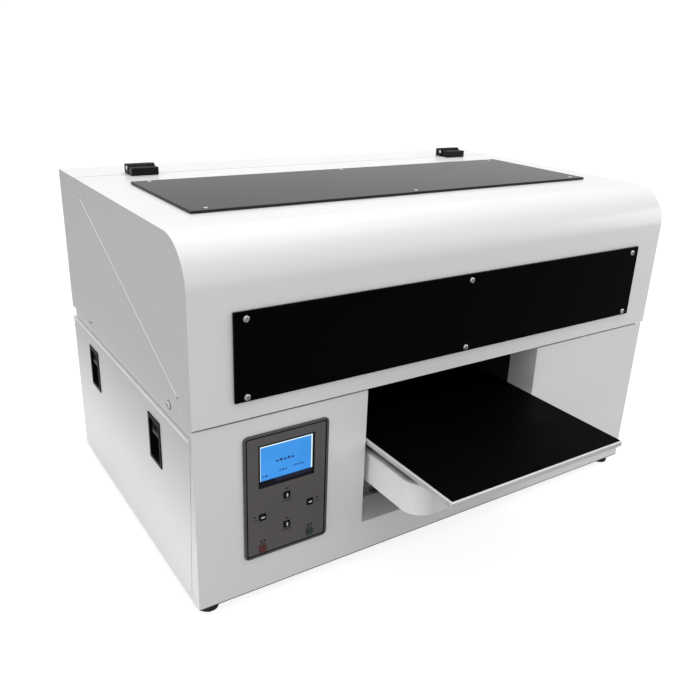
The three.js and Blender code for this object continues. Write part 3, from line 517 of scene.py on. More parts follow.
def round_edges(piece, width, segments=2, angle=30.0):
    apply_modifier(piece, "BEVEL", width=width, segments=segments, limit_method="ANGLE",
                   angle_limit=math.radians(angle))


def bevel_where(piece, test, width, segments):
    select_where(piece, "edges", test)
    bpy.ops.mesh.bevel(offset=width, segments=segments, profile=0.5, affect="EDGES")
    leave_edit()


def round_corners(piece, axis, width, segments):
    """Rounds the edges that run along one axis."""
    bevel_where(piece, lambda e: runs_along(e, axis), width, segments)


def round_rod_ends(rod, width, segments):
    """Rounds the sharp rims at the ends of a rod."""
    bevel_where(rod, lambda e: e.calc_face_angle(0.0) > math.radians(60.0), width, segments)


def carve(piece, *cutters):
    for cutter in cutters:
        apply_modifier(piece, "BOOLEAN", operation="DIFFERENCE", object=cutter, solver="EXACT")
        bpy.data.objects.remove(cutter)


def weld(name, pieces):
    """Several pieces become one object."""
    deselect()
    for piece in pieces:
        piece.select_set(True)
    bpy.context.view_layer.objects.active = pieces[0]
    if len(pieces) > 1:
        bpy.ops.object.join()
    pieces[0].name = name
    return pieces[0]


def copy_piece(piece, matrix, name):
    twin = piece.copy()
    twin.data = piece.data.copy()
    twin.data.transform(matrix)
    twin.name = name
    bpy.context.scene.collection.objects.link(twin)
    return twin


def finish(piece, body, slot, material=None, smooth=35.0, painted=False):
    """Smooth shading, a body and the finish of a slot; a painted piece keeps its materials."""
    take(piece)
    bpy.ops.object.shade_smooth_by_angle(angle=math.radians(smooth))
    apply_modifier(piece, "WEIGHTED_NORMAL", keep_sharp=True, weight=80)
    if not painted:
        piece.data.materials.clear()
        piece.data.materials.append(material or finishes[slot])
    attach(piece, body)


def refine(node, width=0.6 * MM, segments=2, angle=30.0, cutters=(), softer=()):
    """A finished copy of a CAD node: merged, its flat faces whole again and its edges rounded.

    softer holds (test, width, segments) for edges that get a larger round of their own."""
    source = nodes[node]
    piece = source.copy()
    piece.data = source.data.copy()
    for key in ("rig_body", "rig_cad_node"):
        if key in piece:
            del piece[key]
    piece.parent = None
    piece.matrix_world = Matrix.Identity(4)
    piece.name = node + "_finished"
    bpy.context.scene.collection.objects.link(piece)
    take(piece)
    bpy.ops.object.mode_set(mode="EDIT")
    bpy.ops.mesh.select_all(action="SELECT")
    bpy.ops.mesh.remove_doubles(threshold=MERGE_DISTANCE)
    bpy.ops.mesh.dissolve_limited(angle_limit=math.radians(0.5))
    leave_edit()
    carve(piece, *cutters)
    for test, wide, steps in softer:
        bevel_where(piece, test, wide, steps)
    round_edges(piece, width, segments, angle)
    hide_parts(node)
    finish(piece, body_of_node[node], slot_of_node[node])
    return piece


# ---------------------------------------------------------------- screws
def pan_screw(radius, height):
    """A cross-recessed pan head, standing on the origin and looking along +Z."""
    head = start_rod("screw_pattern", (0.0, 0.0, height / 2), radius, height, "Z", 28)
    bevel_where(head, lambda e: min(v.co.z for v in e.verts) > height * 0.99, height * 0.62, 4)
    arm = radius * 0.62
    slot_width = radius * 0.19
    for across in ((arm, slot_width), (slot_width, arm)):
        cross = start_box("cross_cutter", (-across[0], -across[1], height * 0.15),
                          (across[0], across[1], height * 1.5))
        carve(head, cross)
    return head


def facing(axis):
    """The turn that takes +Z to the named direction."""
    return Vector((0.0, 0.0, 1.0)).rotation_difference(Vector(axis)).to_matrix().to_4x4()


def add_screws(name, radius, height, places, axis, body, material=None):
    pattern = pan_screw(radius, height)
    turn = facing(axis)
    heads = []
    for index, place in enumerate(places):
        spin = Matrix.Rotation(0.7 * index, 4, "Z")
        heads.append(copy_piece(pattern, Matrix.Translation(place) @ turn @ spin, name))
    bpy.data.objects.remove(pattern)
    screws = weld(name, heads)
    finish(screws, body, "steel", material or extras["screw_steel"])
    return screws


# ---------------------------------------------------------------- hood
HOOD_BEND = 50 * MM
SHEET = 2 * MM
hood_low, hood_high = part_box("lid_shell")
case_front = hood_low.y + 2.5 * MM
seam_toe = (case_front + 24 * MM, hood_low.z)
seam_heel = (case_front + 32.5 * MM, hood_low.z + 22.5 * MM)
seam_shoulder = (case_front + 343 * MM, hood_low.z + 170 * MM)
SEAM = ((seam_toe, seam_heel), (seam_heel, seam_shoulder))
RELIEF_RADIUS = 1.7 * MM
CASE_HALF = 350 * MM


def seam_y(z):
    """Where the seam of the hood's cheek lies at this height."""
    for low, high in SEAM:
        if z < high[1]:
            share = (z - low[1]) / (high[1] - low[1])
            return low[0] + share * (high[0] - low[0])
    return seam_shoulder[0]


def relief_cutters():
    """Small round holes at the seam's corners, through both cheeks."""
    width = hood_high.x - hood_low.x + 20 * MM
    return [start_rod("relief_cutter", (0.0, y, z), RELIEF_RADIUS, width, "X", 20)
            for y, z in (seam_heel, seam_shoulder)]


def make_hood():
    hood = start_box("hood_shell_finished", hood_low, hood_high)
    toe_fold = 14 * MM
    through = 20 * MM
    top_front = Vector((0.0, hood_low.y, hood_high.z))
    bevel_where(hood, lambda e: (middle(e) - top_front).length < 1 * MM, HOOD_BEND, 20)
    select_where(hood, "faces", lambda f: f.normal.z < -MOSTLY or f.normal.y > MOSTLY)
    bpy.ops.mesh.delete(type="ONLY_FACE")
    for start, end in SEAM:
        normal = (0.0, -(end[1] - start[1]), end[0] - start[0])
        select_where(hood, "faces", lambda f: abs(f.normal.x) > MOSTLY)
        bpy.ops.mesh.bisect(plane_co=(0.0, *start), plane_no=normal, threshold=MERGE_DISTANCE)
    select_where(hood, "faces", lambda f: abs(f.normal.x) > MOSTLY)
    bpy.ops.mesh.bisect(plane_co=(0.0, *seam_shoulder), plane_no=(0.0, 1.0, 0.0),
                        threshold=MERGE_DISTANCE)
    select_where(hood, "faces", lambda f: abs(f.normal.x) > MOSTLY
                 and f.calc_center_median().y > seam_y(f.calc_center_median().z))
    bpy.ops.mesh.delete(type="FACE")
    select_where(hood, "edges", lambda e: runs_along(e, 0)
                 and (middle(e) - Vector((0.0, hood_low.y, hood_low.z))).length < 1 * MM)
    bpy.ops.mesh.extrude_edges_move(TRANSFORM_OT_translate={"value": (0.0, toe_fold, 0.0)})
    bpy.ops.mesh.select_all(action="SELECT")
    bpy.ops.mesh.dissolve_limited(angle_limit=math.radians(0.2))
    bpy.ops.mesh.normals_make_consistent(inside=False)
    leave_edit()
    apply_modifier(hood, "SOLIDIFY", thickness=SHEET, offset=-1.0, use_even_offset=True)
    pane_low, pane_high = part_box("front_window")
    roof_low, roof_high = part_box("top_window")
    lap = 12 * MM
    carve(hood,
          start_box("front_opening", (pane_low.x + lap, hood_low.y - through, pane_low.z + lap),
                    (pane_high.x - lap, hood_low.y + through, pane_high.z - lap)),
          start_box("roof_opening", (roof_low.x + lap, roof_low.y + lap, hood_high.z - through),
                    (roof_high.x - lap, roof_high.y - lap, hood_high.z + through)),
          *relief_cutters())
    round_edges(hood, 0.7 * MM, 3, 40.0)
    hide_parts("lid_shell")
    finish(hood, "hood", "white_paint")


def make_pane(node, lip):
    """An acrylic sheet with polished, slightly rounded edges."""
    low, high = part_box(node)
    pane = start_box(node + "_pane", low, high)
    bevel_where(pane, lambda e: True, lip, 2)
    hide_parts(node)
    finish(pane, "hood", slot_of_node[node])


def make_windows():
    make_pane("front_window", 0.35 * MM)
    make_pane("top_window", 0.5 * MM)
    low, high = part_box("front_window")
    from_end = 13 * MM
    places = [(x, low.y, z)
              for x in (low.x + from_end, 0.0, high.x - from_end)
              for z in (low.z + 5.5 * MM, high.z - 7.5 * MM)]
    add_screws("front_window_screws", 3.7 * MM, 2.3 * MM, places, (0, -1, 0), "hood")
    low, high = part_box("top_window")
    from_end = 20 * MM
    places = [(x, y, high.z)
              for x in (low.x + from_end, 0.0, high.x - from_end)
              for y in (low.y + 8 * MM, high.y - 9 * MM)]
    add_screws("top_window_screws", 2.4 * MM, 1.2 * MM, places, (0, 0, 1), "hood")


# ---------------------------------------------------------------- case
def make_seam_beads():
    """A round painted bead closes the seam between the hood's cheek and the fixed one; the sloping
    stretch takes the lighter enamel, a painted highlight for the bright seam line.
    """
    radius = 1.3 * MM
    depth = 0.45 * MM
    crest = (seam_shoulder[0], hood_high.z - 1.2 * MM)
    stretches = (*SEAM, (seam_shoulder, crest))
    shades = (finishes["white_paint"], extras["highlight_enamel"], finishes["white_paint"])
    for side, sign in SIDES:
        for (start, end), part, shade in zip(stretches, ("toe", "slope", "crest"), shades):
            run = Vector((0.0, end[0] - start[0], end[1] - start[1]))
            place = Vector((sign * (hood_high.x - depth), (start[0] + end[0]) / 2,
                            (start[1] + end[1]) / 2))
            bead = start_rod(f"seam_bead_{side}_{part}", (0.0, 0.0, 0.0), radius,
                             run.length - 2 * RELIEF_RADIUS, "Z", 16)
            round_rod_ends(bead, 0.4 * MM, 2)
            bead.data.transform(Matrix.Translation(place) @ facing(run))
            finish(bead, "base", "white_paint", shade)


def make_hems():
    """The side panels' top edges are rolled hems in a lighter glossy enamel that is partly a painted
    highlight, and a dark grey strip under the front panel is a painted shadow line along its lower
    edge.
    """
    for side, sign in SIDES:
        low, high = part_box(f"{side}_side_panel")
        radius = 1.6 * MM
        centre = (sign * (CASE_HALF + 0.5 * MM), (low.y + high.y) / 2, high.z - radius + 0.5 * MM)
        hem = start_rod(f"panel_hem_{side}", centre, radius, high.y - low.y - 0.6 * MM, "Y", 24)
        round_rod_ends(hem, 0.5 * MM, 2)
        # The hem's lighter enamel is partly a painted highlight for its bright top line; its gloss is
        # real.
        finish(hem, "base", "white_paint", extras["highlight_enamel"])
    low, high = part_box("base_front_panel")
    # A dark grey strip along the front panel's lower edge: a painted shadow line.
    lip = start_box("base_front_shadow_line", (low.x + 1 * MM, low.y - 0.25 * MM, low.z),
                    (high.x - 1 * MM, low.y + 1.2 * MM, low.z + 1.1 * MM))
    round_edges(lip, 0.2 * MM, 2)
    finish(lip, "base", "grey_paint", extras["shade_paint"])


def make_case():
    refine("rear_housing", 0.8 * MM, 3, cutters=relief_cutters())
    refine("base_front_panel", 1.2 * MM, 3)
    for node in ("left_side_panel", "right_side_panel"):
        refine(node, 0.8 * MM, 3)
    for node in ("base_rear_panel", "deck_frame", "base_floor_pan"):
        refine(node, 0.5 * MM, 2)
    low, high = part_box("rear_housing")
    for side, sign in SIDES:
        x = sign * high.x
        add_screws("cheek_screw_rear_" + side, 2.6 * MM, 1.9 * MM,
                   [(x, case_front + 341 * MM, low.z + 5.5 * MM)],
                   (sign, 0, 0), "base")
        front_place = (x, case_front + 58.5 * MM, low.z + 4.2 * MM)
        add_screws("cheek_screw_front_" + side, 4.6 * MM, 2.2 * MM, [front_place], (sign, 0, 0),
                   "base", finishes["white_paint"])
        # A black disc under the white screw head is painted shade: the dark crescent round the head.
        shadow_disc = start_rod("cheek_washer_" + side, front_place, 5.2 * MM, 0.8 * MM, "X", 32)
        round_edges(shadow_disc, 0.15 * MM, 2, 50.0)
        finish(shadow_disc, "base", "black_rubber")
    panel_low, panel_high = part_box("base_rear_panel")
    edge_x = CASE_HALF - 15 * MM
    rows = ((low.z + 8 * MM, high.z - 12 * MM), (panel_low.z + 14 * MM, panel_high.z - 10 * MM))
    places = [(x, high.y, z) for pair in rows for x in (-edge_x, 0.0, edge_x) for z in pair]
    add_screws("rear_screws", 3.4 * MM, 2.0 * MM, places, (0, 1, 0), "base")


def make_feet():
    low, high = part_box("foot_front_left")
    radius = (high.x - low.x) / 2
    pattern = start_rod("foot_pattern", (0.0, 0.0, (low.z + high.z) / 2), radius,
                        high.z - low.z, "Z", 48)
    bevel_where(pattern, lambda e: max(v.co.z for v in e.verts) > high.z - TOUCH,
                2.4 * MM, 3)
    bevel_where(pattern, lambda e: max(v.co.z for v in e.verts) < low.z + TOUCH,
                1.5 * MM, 3)
    select_where(pattern, "faces", lambda f: f.normal.z < -MOSTLY and f.calc_area() > 1e-4)
    bpy.ops.mesh.inset(thickness=5 * MM)
    bpy.ops.mesh.extrude_region_move(TRANSFORM_OT_translate={"value": (0.0, 0.0, 3.5 * MM)})
    leave_edit()
    for node in ("foot_front_left", "foot_front_right", "foot_rear_left", "foot_rear_right"):
        centre = middle_of(node)
        foot = copy_piece(pattern, Matrix.Translation((centre.x, centre.y, 0.0)),
                          node + "_finished")
        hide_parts(node)
        finish(foot, "base", "black_rubber")
    bpy.data.objects.remove(pattern)


# ---------------------------------------------------------------- keypad and screen
ARROW_TURNS = {"button_up": 0.0, "button_right": -90.0, "button_down": 180.0, "button_left": 90.0}
KEY_HALF = 4 * MM
KEY_CLEARANCE = 0.3 * MM
PRINT_DEPTH = 0.06 * MM
RIM_WIDE = 3.0 * MM
GROOVE_DEPTH = 0.7 * MM
FILM_RECESS = 0.35 * MM
PAST = 10 * MM
KEYS = ("button_up", "button_right", "button_left", "button_down", "button_escape",
        "button_enter")


def make_bezel():
    low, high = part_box("display_bezel")
    bezel = start_box("keypad_panel", low, high)
    round_corners(bezel, 1, 6 * MM, 8)
    select_where(bezel, "faces", lambda f: f.normal.y < -MOSTLY)
    bpy.ops.mesh.inset(thickness=RIM_WIDE)
    bpy.ops.mesh.extrude_region_move(TRANSFORM_OT_translate={"value": (0.0, GROOVE_DEPTH, 0.0)})
    bpy.ops.mesh.inset(thickness=1.3 * MM)
    bpy.ops.mesh.extrude_region_move(TRANSFORM_OT_translate={"value": (0.0, -FILM_RECESS, 0.0)})
    leave_edit()
    bevel_where(bezel, lies_at(1, low.y), 0.45 * MM, 2)
    for material in (extras["keypad_rim"], extras["keypad_groove"], finishes["grey_film"]):
        bezel.data.materials.append(material)
    film_area = 0.003
    for face in bezel.data.polygons:
        inset = min(face.center.x - low.x, high.x - face.center.x,
                    face.center.z - low.z, high.z - face.center.z)
        if face.normal.y < -MOSTLY and face.area > film_area:
            face.material_index = 2
        elif inset > RIM_WIDE - 0.1 * MM:
            face.material_index = 1
    window = screen_window()
    cutters = [start_box("screen_cutter", (window[0].x, low.y - PAST, window[0].z),
                         (window[1].x, high.y + PAST, window[1].z))]
    half = KEY_HALF + KEY_CLEARANCE
    for key in KEYS:
        cutters.append(slab("key_cutter", middle_of(key), half, half, low.y - PAST, high.y + PAST))
    carve(bezel, *cutters)
    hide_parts("display_bezel")
    finish(bezel, "base", "grey_film", smooth=30.0, painted=True)


def screen_window():
    """The screen's opening in the keypad panel: lowest and highest corners in x and z."""
    panel_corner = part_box("display_bezel")[0]
    wide, tall = 70 * MM, 53 * MM
    corner = Vector((panel_corner.x + 17.5 * MM, 0.0, panel_corner.z + 88 * MM))
    return corner, corner + Vector((wide, 0.0, tall))


def make_screen():
    low, high = screen_window()
    board_low, board_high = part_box("control_board")
    face_y = board_low.y
    fit = 0.4 * MM
    frame_body = start_box("screen_frame", (low.x + fit, face_y, low.z + fit),
                           (high.x - fit, face_y + 6.0 * MM, high.z - fit))
    view_low = Vector((low.x + 2.3 * MM, face_y, low.z + 8.5 * MM))
    view_high = Vector((high.x - 2.6 * MM, face_y, high.z - 2.0 * MM))
    well = start_box("view_cutter", (view_low.x, face_y - 0.01, view_low.z),
                     (view_high.x, face_y + 1.4 * MM, view_high.z))
    carve(frame_body, well)
    round_edges(frame_body, 0.3 * MM, 2)
    finish(frame_body, "base", "lcd_screen")

    rim = 1.5 * MM
    glass_y = face_y + 0.7 * MM
    glass = start_box("screen_glass", (view_low.x + rim * 0.5, glass_y, view_low.z),
                      (view_high.x - rim, glass_y + 0.6 * MM, view_high.z - rim))
    round_edges(glass, 0.12 * MM, 2)
    finish(glass, "base", "lcd_screen", extras["screen_glow"])
    strips = ((view_low.x, view_high.z - rim, view_high.x, view_high.z),
              (view_high.x - rim, view_low.z, view_high.x, view_high.z - rim),
              (view_low.x, view_low.z, view_low.x + rim * 0.5, view_high.z - rim))
    edges = weld("screen_edge_light",
                 [start_box("strip", (left, glass_y - 0.1 * MM, bottom),
                            (right, glass_y + 0.7 * MM, top)) for left, bottom, right, top in strips])
    round_edges(edges, 0.1 * MM, 2)
    finish(edges, "base", "lcd_screen", extras["screen_edge"])

    marks = []
    rows = ((0.46, 0.30, 5, 3.8), (0.16, 0.36, 3, 2.8), (0.20, 0.62, 5, 2.4), (0.10, 0.04, 2, 3.0))
    wide = view_high.x - view_low.x
    high_z = view_high.z - view_low.z
    for height_share, start_share, count, size in rows:
        for index in range(count):
            x = view_low.x + wide * start_share + index * size * 1.25 * MM
            z = view_low.z + high_z * height_share
            marks.append(start_box("screen_mark", (x, glass_y - 0.12 * MM, z),
                                   (x + size * 0.85 * MM, glass_y + 0.1 * MM,
                                    z + size * (0.55 + 0.25 * (index % 2)) * MM)))
    dots = weld("screen_marks", marks)
    round_edges(dots, 0.08 * MM, 1)
    finish(dots, "base", "lcd_screen", extras["screen_ink"])

    navy = start_box("screen_navy_band",
                     (view_low.x + 18 * MM, face_y - 0.12 * MM, view_low.z - 4.2 * MM),
                     (view_high.x - rim, face_y + 0.3 * MM, view_low.z - 0.3 * MM))
    round_edges(navy, 0.1 * MM, 2)
    finish(navy, "base", "lcd_screen", extras["screen_navy"])

    board = start_box("keypad_board", (board_low.x, board_high.y - 1.6 * MM, board_low.z),
                      (board_high.x, board_high.y, board_high.z))
    connector = start_box("keypad_connector", (-250 * MM, board_high.y - 0.1 * MM, 80 * MM),
                          (-225 * MM, board_high.y + 6 * MM, 88 * MM))
    chip = start_box("keypad_chip", (-262 * MM, board_high.y - 0.1 * MM, 160 * MM),
                     (-240 * MM, board_high.y + 2 * MM, 182 * MM))
    board = weld("keypad_board", [board, connector, chip])
    round_edges(board, 0.3 * MM, 2)
    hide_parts("control_board")
    finish(board, "base", "circuit_board")


def arrow_glyph(name, centre, turn):
    """A printed arrow that points up before its turn, in the plane that faces -Y."""
    shaft = start_box("shaft", (-0.65 * MM, -PRINT_DEPTH, -2.4 * MM),
                      (0.65 * MM, PRINT_DEPTH, 0.4 * MM))
    tip = start_rod("tip", (0.0, 0.0, 0.9 * MM), 1.75 * MM, 0.12 * MM, "Y", 3)
    deepest = min(v.co.z for v in tip.data.vertices)
    rise = max(v.co.z for v in tip.data.vertices)
    if rise - 0.9 * MM < 0.9 * MM - deepest - 0.1 * MM:
        tip.data.transform(Matrix.Translation((0, 0, 1.8 * MM)) @ Matrix.Rotation(math.pi, 4, "Y"))
    arrow = weld(name, [shaft, tip])
    spin = Matrix.Rotation(math.radians(-turn), 4, "Y")
    arrow.data.transform(Matrix.Translation(centre) @ spin)
    return arrow


def ring_glyph(name, centre, half, thickness):
    """A printed square outline round a key's face."""
    plate = slab(name, centre, half, half, centre.y - PRINT_DEPTH, centre.y + PRINT_DEPTH)
    round_corners(plate, 1, 1.2 * MM, 4)
    inner = half - thickness
    hole = slab("ring_cutter", centre, inner, inner, centre.y - PAST, centre.y + PAST)
    round_corners(hole, 1, 0.7 * MM, 4)
    carve(plate, hole)
    return plate


def make_key(node):
    low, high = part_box(node)
    centre = (low + high) / 2
    cap = slab(node + "_cap", centre, KEY_HALF, KEY_HALF, low.y, high.y)
    round_corners(cap, 1, 1.1 * MM, 4)
    bevel_where(cap, lies_at(1, low.y), 0.35 * MM, 3)
    collar = start_box("collar", (low.x, low.y + 3.1 * MM, low.z),
                       (high.x, low.y + 4.3 * MM, high.z))
    round_corners(collar, 1, 1.2 * MM, 3)
    cap = weld(node + "_cap", [cap, collar])
    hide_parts(node)
    plain = node in ARROW_TURNS
    shade = "key_black" if plain else "key_red" if node == "button_escape" else "key_green"
    finish(cap, node, "black_plastic", extras[shade])
    face = Vector((centre.x, low.y - 0.02 * MM, centre.z))
    if plain:
        glyph = arrow_glyph(node + "_arrow", face, ARROW_TURNS[node])
        ink = extras["white_ink"]
    else:
        outline = ring_glyph(node + "_outline", face, 3.95 * MM, 1.0 * MM)
        mark = slab("mark", face, 1.6 * MM, 0.9 * MM, face.y - PRINT_DEPTH, face.y + PRINT_DEPTH)
        round_corners(mark, 1, 0.8 * MM, 4)
        glyph = weld(node + "_outline", [outline, mark])
        ink = extras["red_ink" if node == "button_escape" else "green_ink"]
    finish(glyph, node, "black_plastic", ink)


def make_keypad_marks():
    """Small generic dashes and dots printed beside the keys."""
    film_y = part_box("display_bezel")[0].y + FILM_RECESS
    marks = []

    def dash(x, z, wide, tall):
        marks.append(start_box("dash", (x - wide / 2, film_y - 0.05 * MM, z - tall / 2),
                               (x + wide / 2, film_y + 0.1 * MM, z + tall / 2)))

    for key in KEYS:
        centre = middle_of(key)
        if key in ("button_up", "button_down"):
            dash(centre.x, centre.z + 8.0 * MM, 2.2 * MM, 2.2 * MM)
            dash(centre.x - 0.5 * MM, centre.z - 7.0 * MM, 13 * MM, 1.0 * MM)
        elif key in ("button_left", "button_right"):
            out = -1 if key == "button_left" else 1
            dash(centre.x + out * 9.5 * MM, centre.z + 2.4 * MM, 2.2 * MM, 2.2 * MM)
            dash(centre.x + out * 9.0 * MM, centre.z - 2.2 * MM, 6 * MM, 0.9 * MM)
        else:
            for step in (-1, 1):
                dash(centre.x + step * 2.2 * MM, centre.z + 9.8 * MM, 2.8 * MM, 2.3 * MM)
            dash(centre.x, centre.z + 6.3 * MM, 6.5 * MM, 0.9 * MM)
    printed = weld("keypad_marks", marks)
    round_corners(printed, 1, 0.25 * MM, 2)
    finish(printed, "base", "grey_film", extras["dark_ink"])


# ---------------------------------------------------------------- latches and hinges
def latch_trim_pattern(low, high):
    """A line round a pocket's mouth and a plate on its back wall, for a pocket facing -X.

    It stands on the origin, with the case's side face as its zero in x."""
    wall = 3.8 * MM
    mouth_y, mouth_z = (high.y - low.y) / 2 - wall, (high.z - low.z) / 2 - wall
    line = 0.8 * MM
    ring = start_box("ring", (-1.5 * MM, -mouth_y - line, -mouth_z - line),
                     (-1.2 * MM, mouth_y + line, mouth_z + line))
    carve(ring, start_box("ring_cutter", (-5 * MM, -mouth_y, -mouth_z),
                          (5 * MM, mouth_y, mouth_z)))
    plate = start_box("plate", (9.8 * MM, -12 * MM, 1 * MM - mouth_z),
                      (10.6 * MM, 12 * MM, -9 * MM))
    trim = weld("latch_trim", [ring, plate])
    round_edges(trim, 0.1 * MM, 2)
    return trim


LATCHES = [(side, sign, place) for side, sign in SIDES for place in ("front", "rear")]


def make_latches():
    pattern = latch_trim_pattern(*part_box("latch_housing_left_front"))
    for side, sign, place in LATCHES:
        turn = Matrix.Rotation(0.0 if sign < 0 else math.pi, 4, "Z")
        low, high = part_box(f"latch_housing_{side}_{place}")
        centre = (sign * CASE_HALF, (low.y + high.y) / 2, (low.z + high.z) / 2)
        trim = copy_piece(pattern, Matrix.Translation(centre) @ turn,
                          f"latch_trim_{side}_{place}")
        finish(trim, "base", "latch_plastic")
    bpy.data.objects.remove(pattern)
    for side, sign, place in LATCHES:
        refine(f"latch_housing_{side}_{place}", 0.25 * MM, 2)
        node = f"latch_slider_{side}_{place}"
        low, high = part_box(node)
        refine(node, 0.5 * MM, 2)
        face_x = low.x if sign < 0 else high.x
        near_x, far_x = sorted((face_x - sign * 0.8 * MM, face_x - sign * 3.0 * MM))
        # The grip ribs are black, a painted shade for the dark recess in the slider's face.
        ribs = []
        for index in range(3):
            z = low.z + (5.2 + 2.4 * index) * MM
            ribs.append(start_box("rib", (near_x, low.y + 4 * MM, z),
                                  (far_x, high.y - 4 * MM, z + 1.3 * MM)))
        grip_shade = weld(node + "_grip", ribs)
        round_edges(grip_shade, 0.3 * MM, 2)
        finish(grip_shade, body_of_node[node], "black_plastic")


def make_hinges():
    for side, _ in SIDES:
        refine(f"hinge_base_leaf_{side}", 0.5 * MM, 2, 35.0)
        refine(f"hinge_lid_leaf_{side}", 0.5 * MM, 2, 35.0)
        low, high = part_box(f"hinge_base_leaf_{side}")
        pin_inset = 5.5 * MM
        axis_y = low.y + pin_inset
        axis_z = high.z - pin_inset
        ends = []
        for x, out in ((low.x, -1), (high.x, 1)):
            end = start_rod("pin_end", (x + out * 0.1 * MM, axis_y, axis_z), 2.6 * MM, 0.8 * MM,
                            "X", 24)
            bevel_where(end, lies_at(0, x + out * 0.5 * MM), 0.3 * MM, 2)
            ends.append(end)
        pin = weld(f"hinge_pin_{side}", ends)
        finish(pin, "base", "steel", extras["screw_steel"])


# ---------------------------------------------------------------- table
def make_table():
    low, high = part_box("table_plate")
    plate = start_box("table_plate_finished", low, high)
    round_corners(plate, 2, 1.5 * MM, 4)
    bevel_where(plate, lies_at(2, high.z), 0.9 * MM, 2)
    bevel_where(plate, lies_at(2, low.z), 0.5 * MM, 2)
    for rise in (1.7 * MM, 3.4 * MM):
        groove = start_box("groove", (low.x - 5 * MM, low.y - 5 * MM, low.z + rise),
                           (high.x + 5 * MM, high.y + 5 * MM, low.z + rise + 0.6 * MM))
        carve(groove, start_box("groove_core", low + Vector((0.5, 0.5, -9.0)) * MM,
                                high + Vector((-0.5, -0.5, 9.0)) * MM))
        carve(plate, groove)
    plate.data.materials.append(extras["anodised_plate"])
    plate.data.materials.append(extras["rim_highlight"])
    # The up-facing faces at the top take the lighter rim colour: a painted highlight for the bright
    # edge line, on a glossy chamfer.
    for face in plate.data.polygons:
        if face.normal.z > 0.2 and face.center.z > high.z - 1 * MM:
            face.material_index = 1
    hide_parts("table_plate")
    finish(plate, "table_top", "aluminium", painted=True)

    low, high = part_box("table_mat")
    mat = start_box("table_mat_finished", low, high)
    round_corners(mat, 2, 1.0 * MM, 3)
    bevel_where(mat, lies_at(2, high.z), 0.6 * MM, 3)
    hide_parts("table_mat")
    finish(mat, "table_top", "mat_rubber")


NECK_HEIGHT = 12.2 * MM
NECK_CORNER = 26 * MM


def make_table_housing():
    """The tub under the table keeps its drawn outline and gets a soft lower rim."""
    low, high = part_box("table_housing")
    sharp = math.radians(40.0)

    def on_rim(edge):
        return lies_at(2, low.z)(edge) and edge.calc_face_angle(0.0) > sharp

    def on_shoulder(edge):
        outside = abs(middle(edge).x) > high.x - 28 * MM or middle(edge).y < low.y + 1 * MM
        return (lies_at(2, high.z - NECK_HEIGHT)(edge)
                and edge.calc_face_angle(0.0) > sharp and edge.is_convex and outside)

    refine("table_housing", 0.5 * MM, 2, 40.0,
           softer=((on_rim, 0.9 * MM, 2), (on_shoulder, 2.6 * MM, 4)))


def make_table_gasket():
    """A dark band round the neck between the tub's shoulder and the plate; its dark colour is painted
    shade under the plate's overhang.
    """
    low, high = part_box("table_housing")

    def neck_block(name, inset, back, bottom, top):
        block = start_box(name, (low.x + inset, low.y + inset, bottom),
                          (high.x - inset, back, top))
        bevel_where(block, lambda e: runs_along(e, 2) and middle(e).y < low.y + 20 * MM,
                    NECK_CORNER - inset, 8)
        return block

    band = neck_block("table_shade_band", 5.8 * MM, high.y - 4 * MM, high.z - NECK_HEIGHT,
                      high.z - 0.2 * MM)
    carve(band, neck_block("neck_cutter", 7.2 * MM, high.y + 5 * MM, high.z - 0.05,
                           high.z + 0.05))
    round_edges(band, 0.25 * MM, 2, 50.0)
    finish(band, "table_top", "black_rubber", extras["shade_paint"])


def make_table_drive():
    """The flat belt under the table, its idler wheel and the yoke that holds the wheel."""
    low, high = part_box("table_drive_shaft")
    centre_y, centre_z = (low.y + high.y) / 2, (low.z + high.z) / 2
    front_y = -80 * MM
    inner = 8.3 * MM
    thick = 1.3 * MM
    belt = start_rod("table_belt", (20 * MM, centre_y, centre_z), inner, 6 * MM, "X", 32,
                     "NOTHING")
    select_where(belt, "verts", lambda v: v.co.y < centre_y - TOUCH)
    bpy.ops.transform.translate(value=(0.0, front_y - centre_y, 0.0))
    leave_edit()
    apply_modifier(belt, "SOLIDIFY", thickness=thick, offset=1.0)
    finish(belt, "base", "black_rubber")
    wheel = start_rod("table_belt_idler", (20 * MM, front_y, centre_z), 8 * MM, 8 * MM, "X", 32)
    round_edges(wheel, 0.5 * MM, 2, 50.0)
    finish(wheel, "base", "aluminium")
    yoke = start_box("belt_idler_yoke", (12 * MM, front_y - 5 * MM, 14.5 * MM),
                     (28 * MM, front_y + 5 * MM, centre_z + 6 * MM))
    slot = start_box("yoke_cutter", (15.5 * MM, front_y - 0.02, 18 * MM),
                     (24.5 * MM, front_y + 0.02, 0.08))
    carve(yoke, slot)
    round_edges(yoke, 0.5 * MM, 2)
    finish(yoke, "base", "steel")


def make_motor_details():
    """Bright end caps with a round bore on the two stepping motors."""
    for node, axis in (("carriage_motor", 1), ("table_motor", 0)):
        refine(node, 1.6 * MM, 3)
        low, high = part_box(node)
        caps = []
        for share in (0.0, 0.78):
            cap_low, cap_high = Vector(low), Vector(high)
            body_start = low[axis] + (2 * MM if axis == 1 else 0.0)
            length = high[axis] - body_start
            cap_low[axis] = body_start + length * share - 0.15 * MM
            cap_high[axis] = cap_low[axis] + length * 0.22 + 0.15 * MM
            grow = Vector((0.25 * MM,) * 3)
            grow[axis] = 0.0
            caps.append(start_box("cap", cap_low - grow, cap_high + grow))
        ends = weld(node + "_end_caps", caps)
        round_edges(ends, 1.8 * MM, 3)
        hole_centre = (low + high) / 2
        bore = start_rod("bore", hole_centre, 4 * MM, 0.2, "XYZ"[axis], 24)
        carve(ends, bore)
        finish(ends, "base", "aluminium")


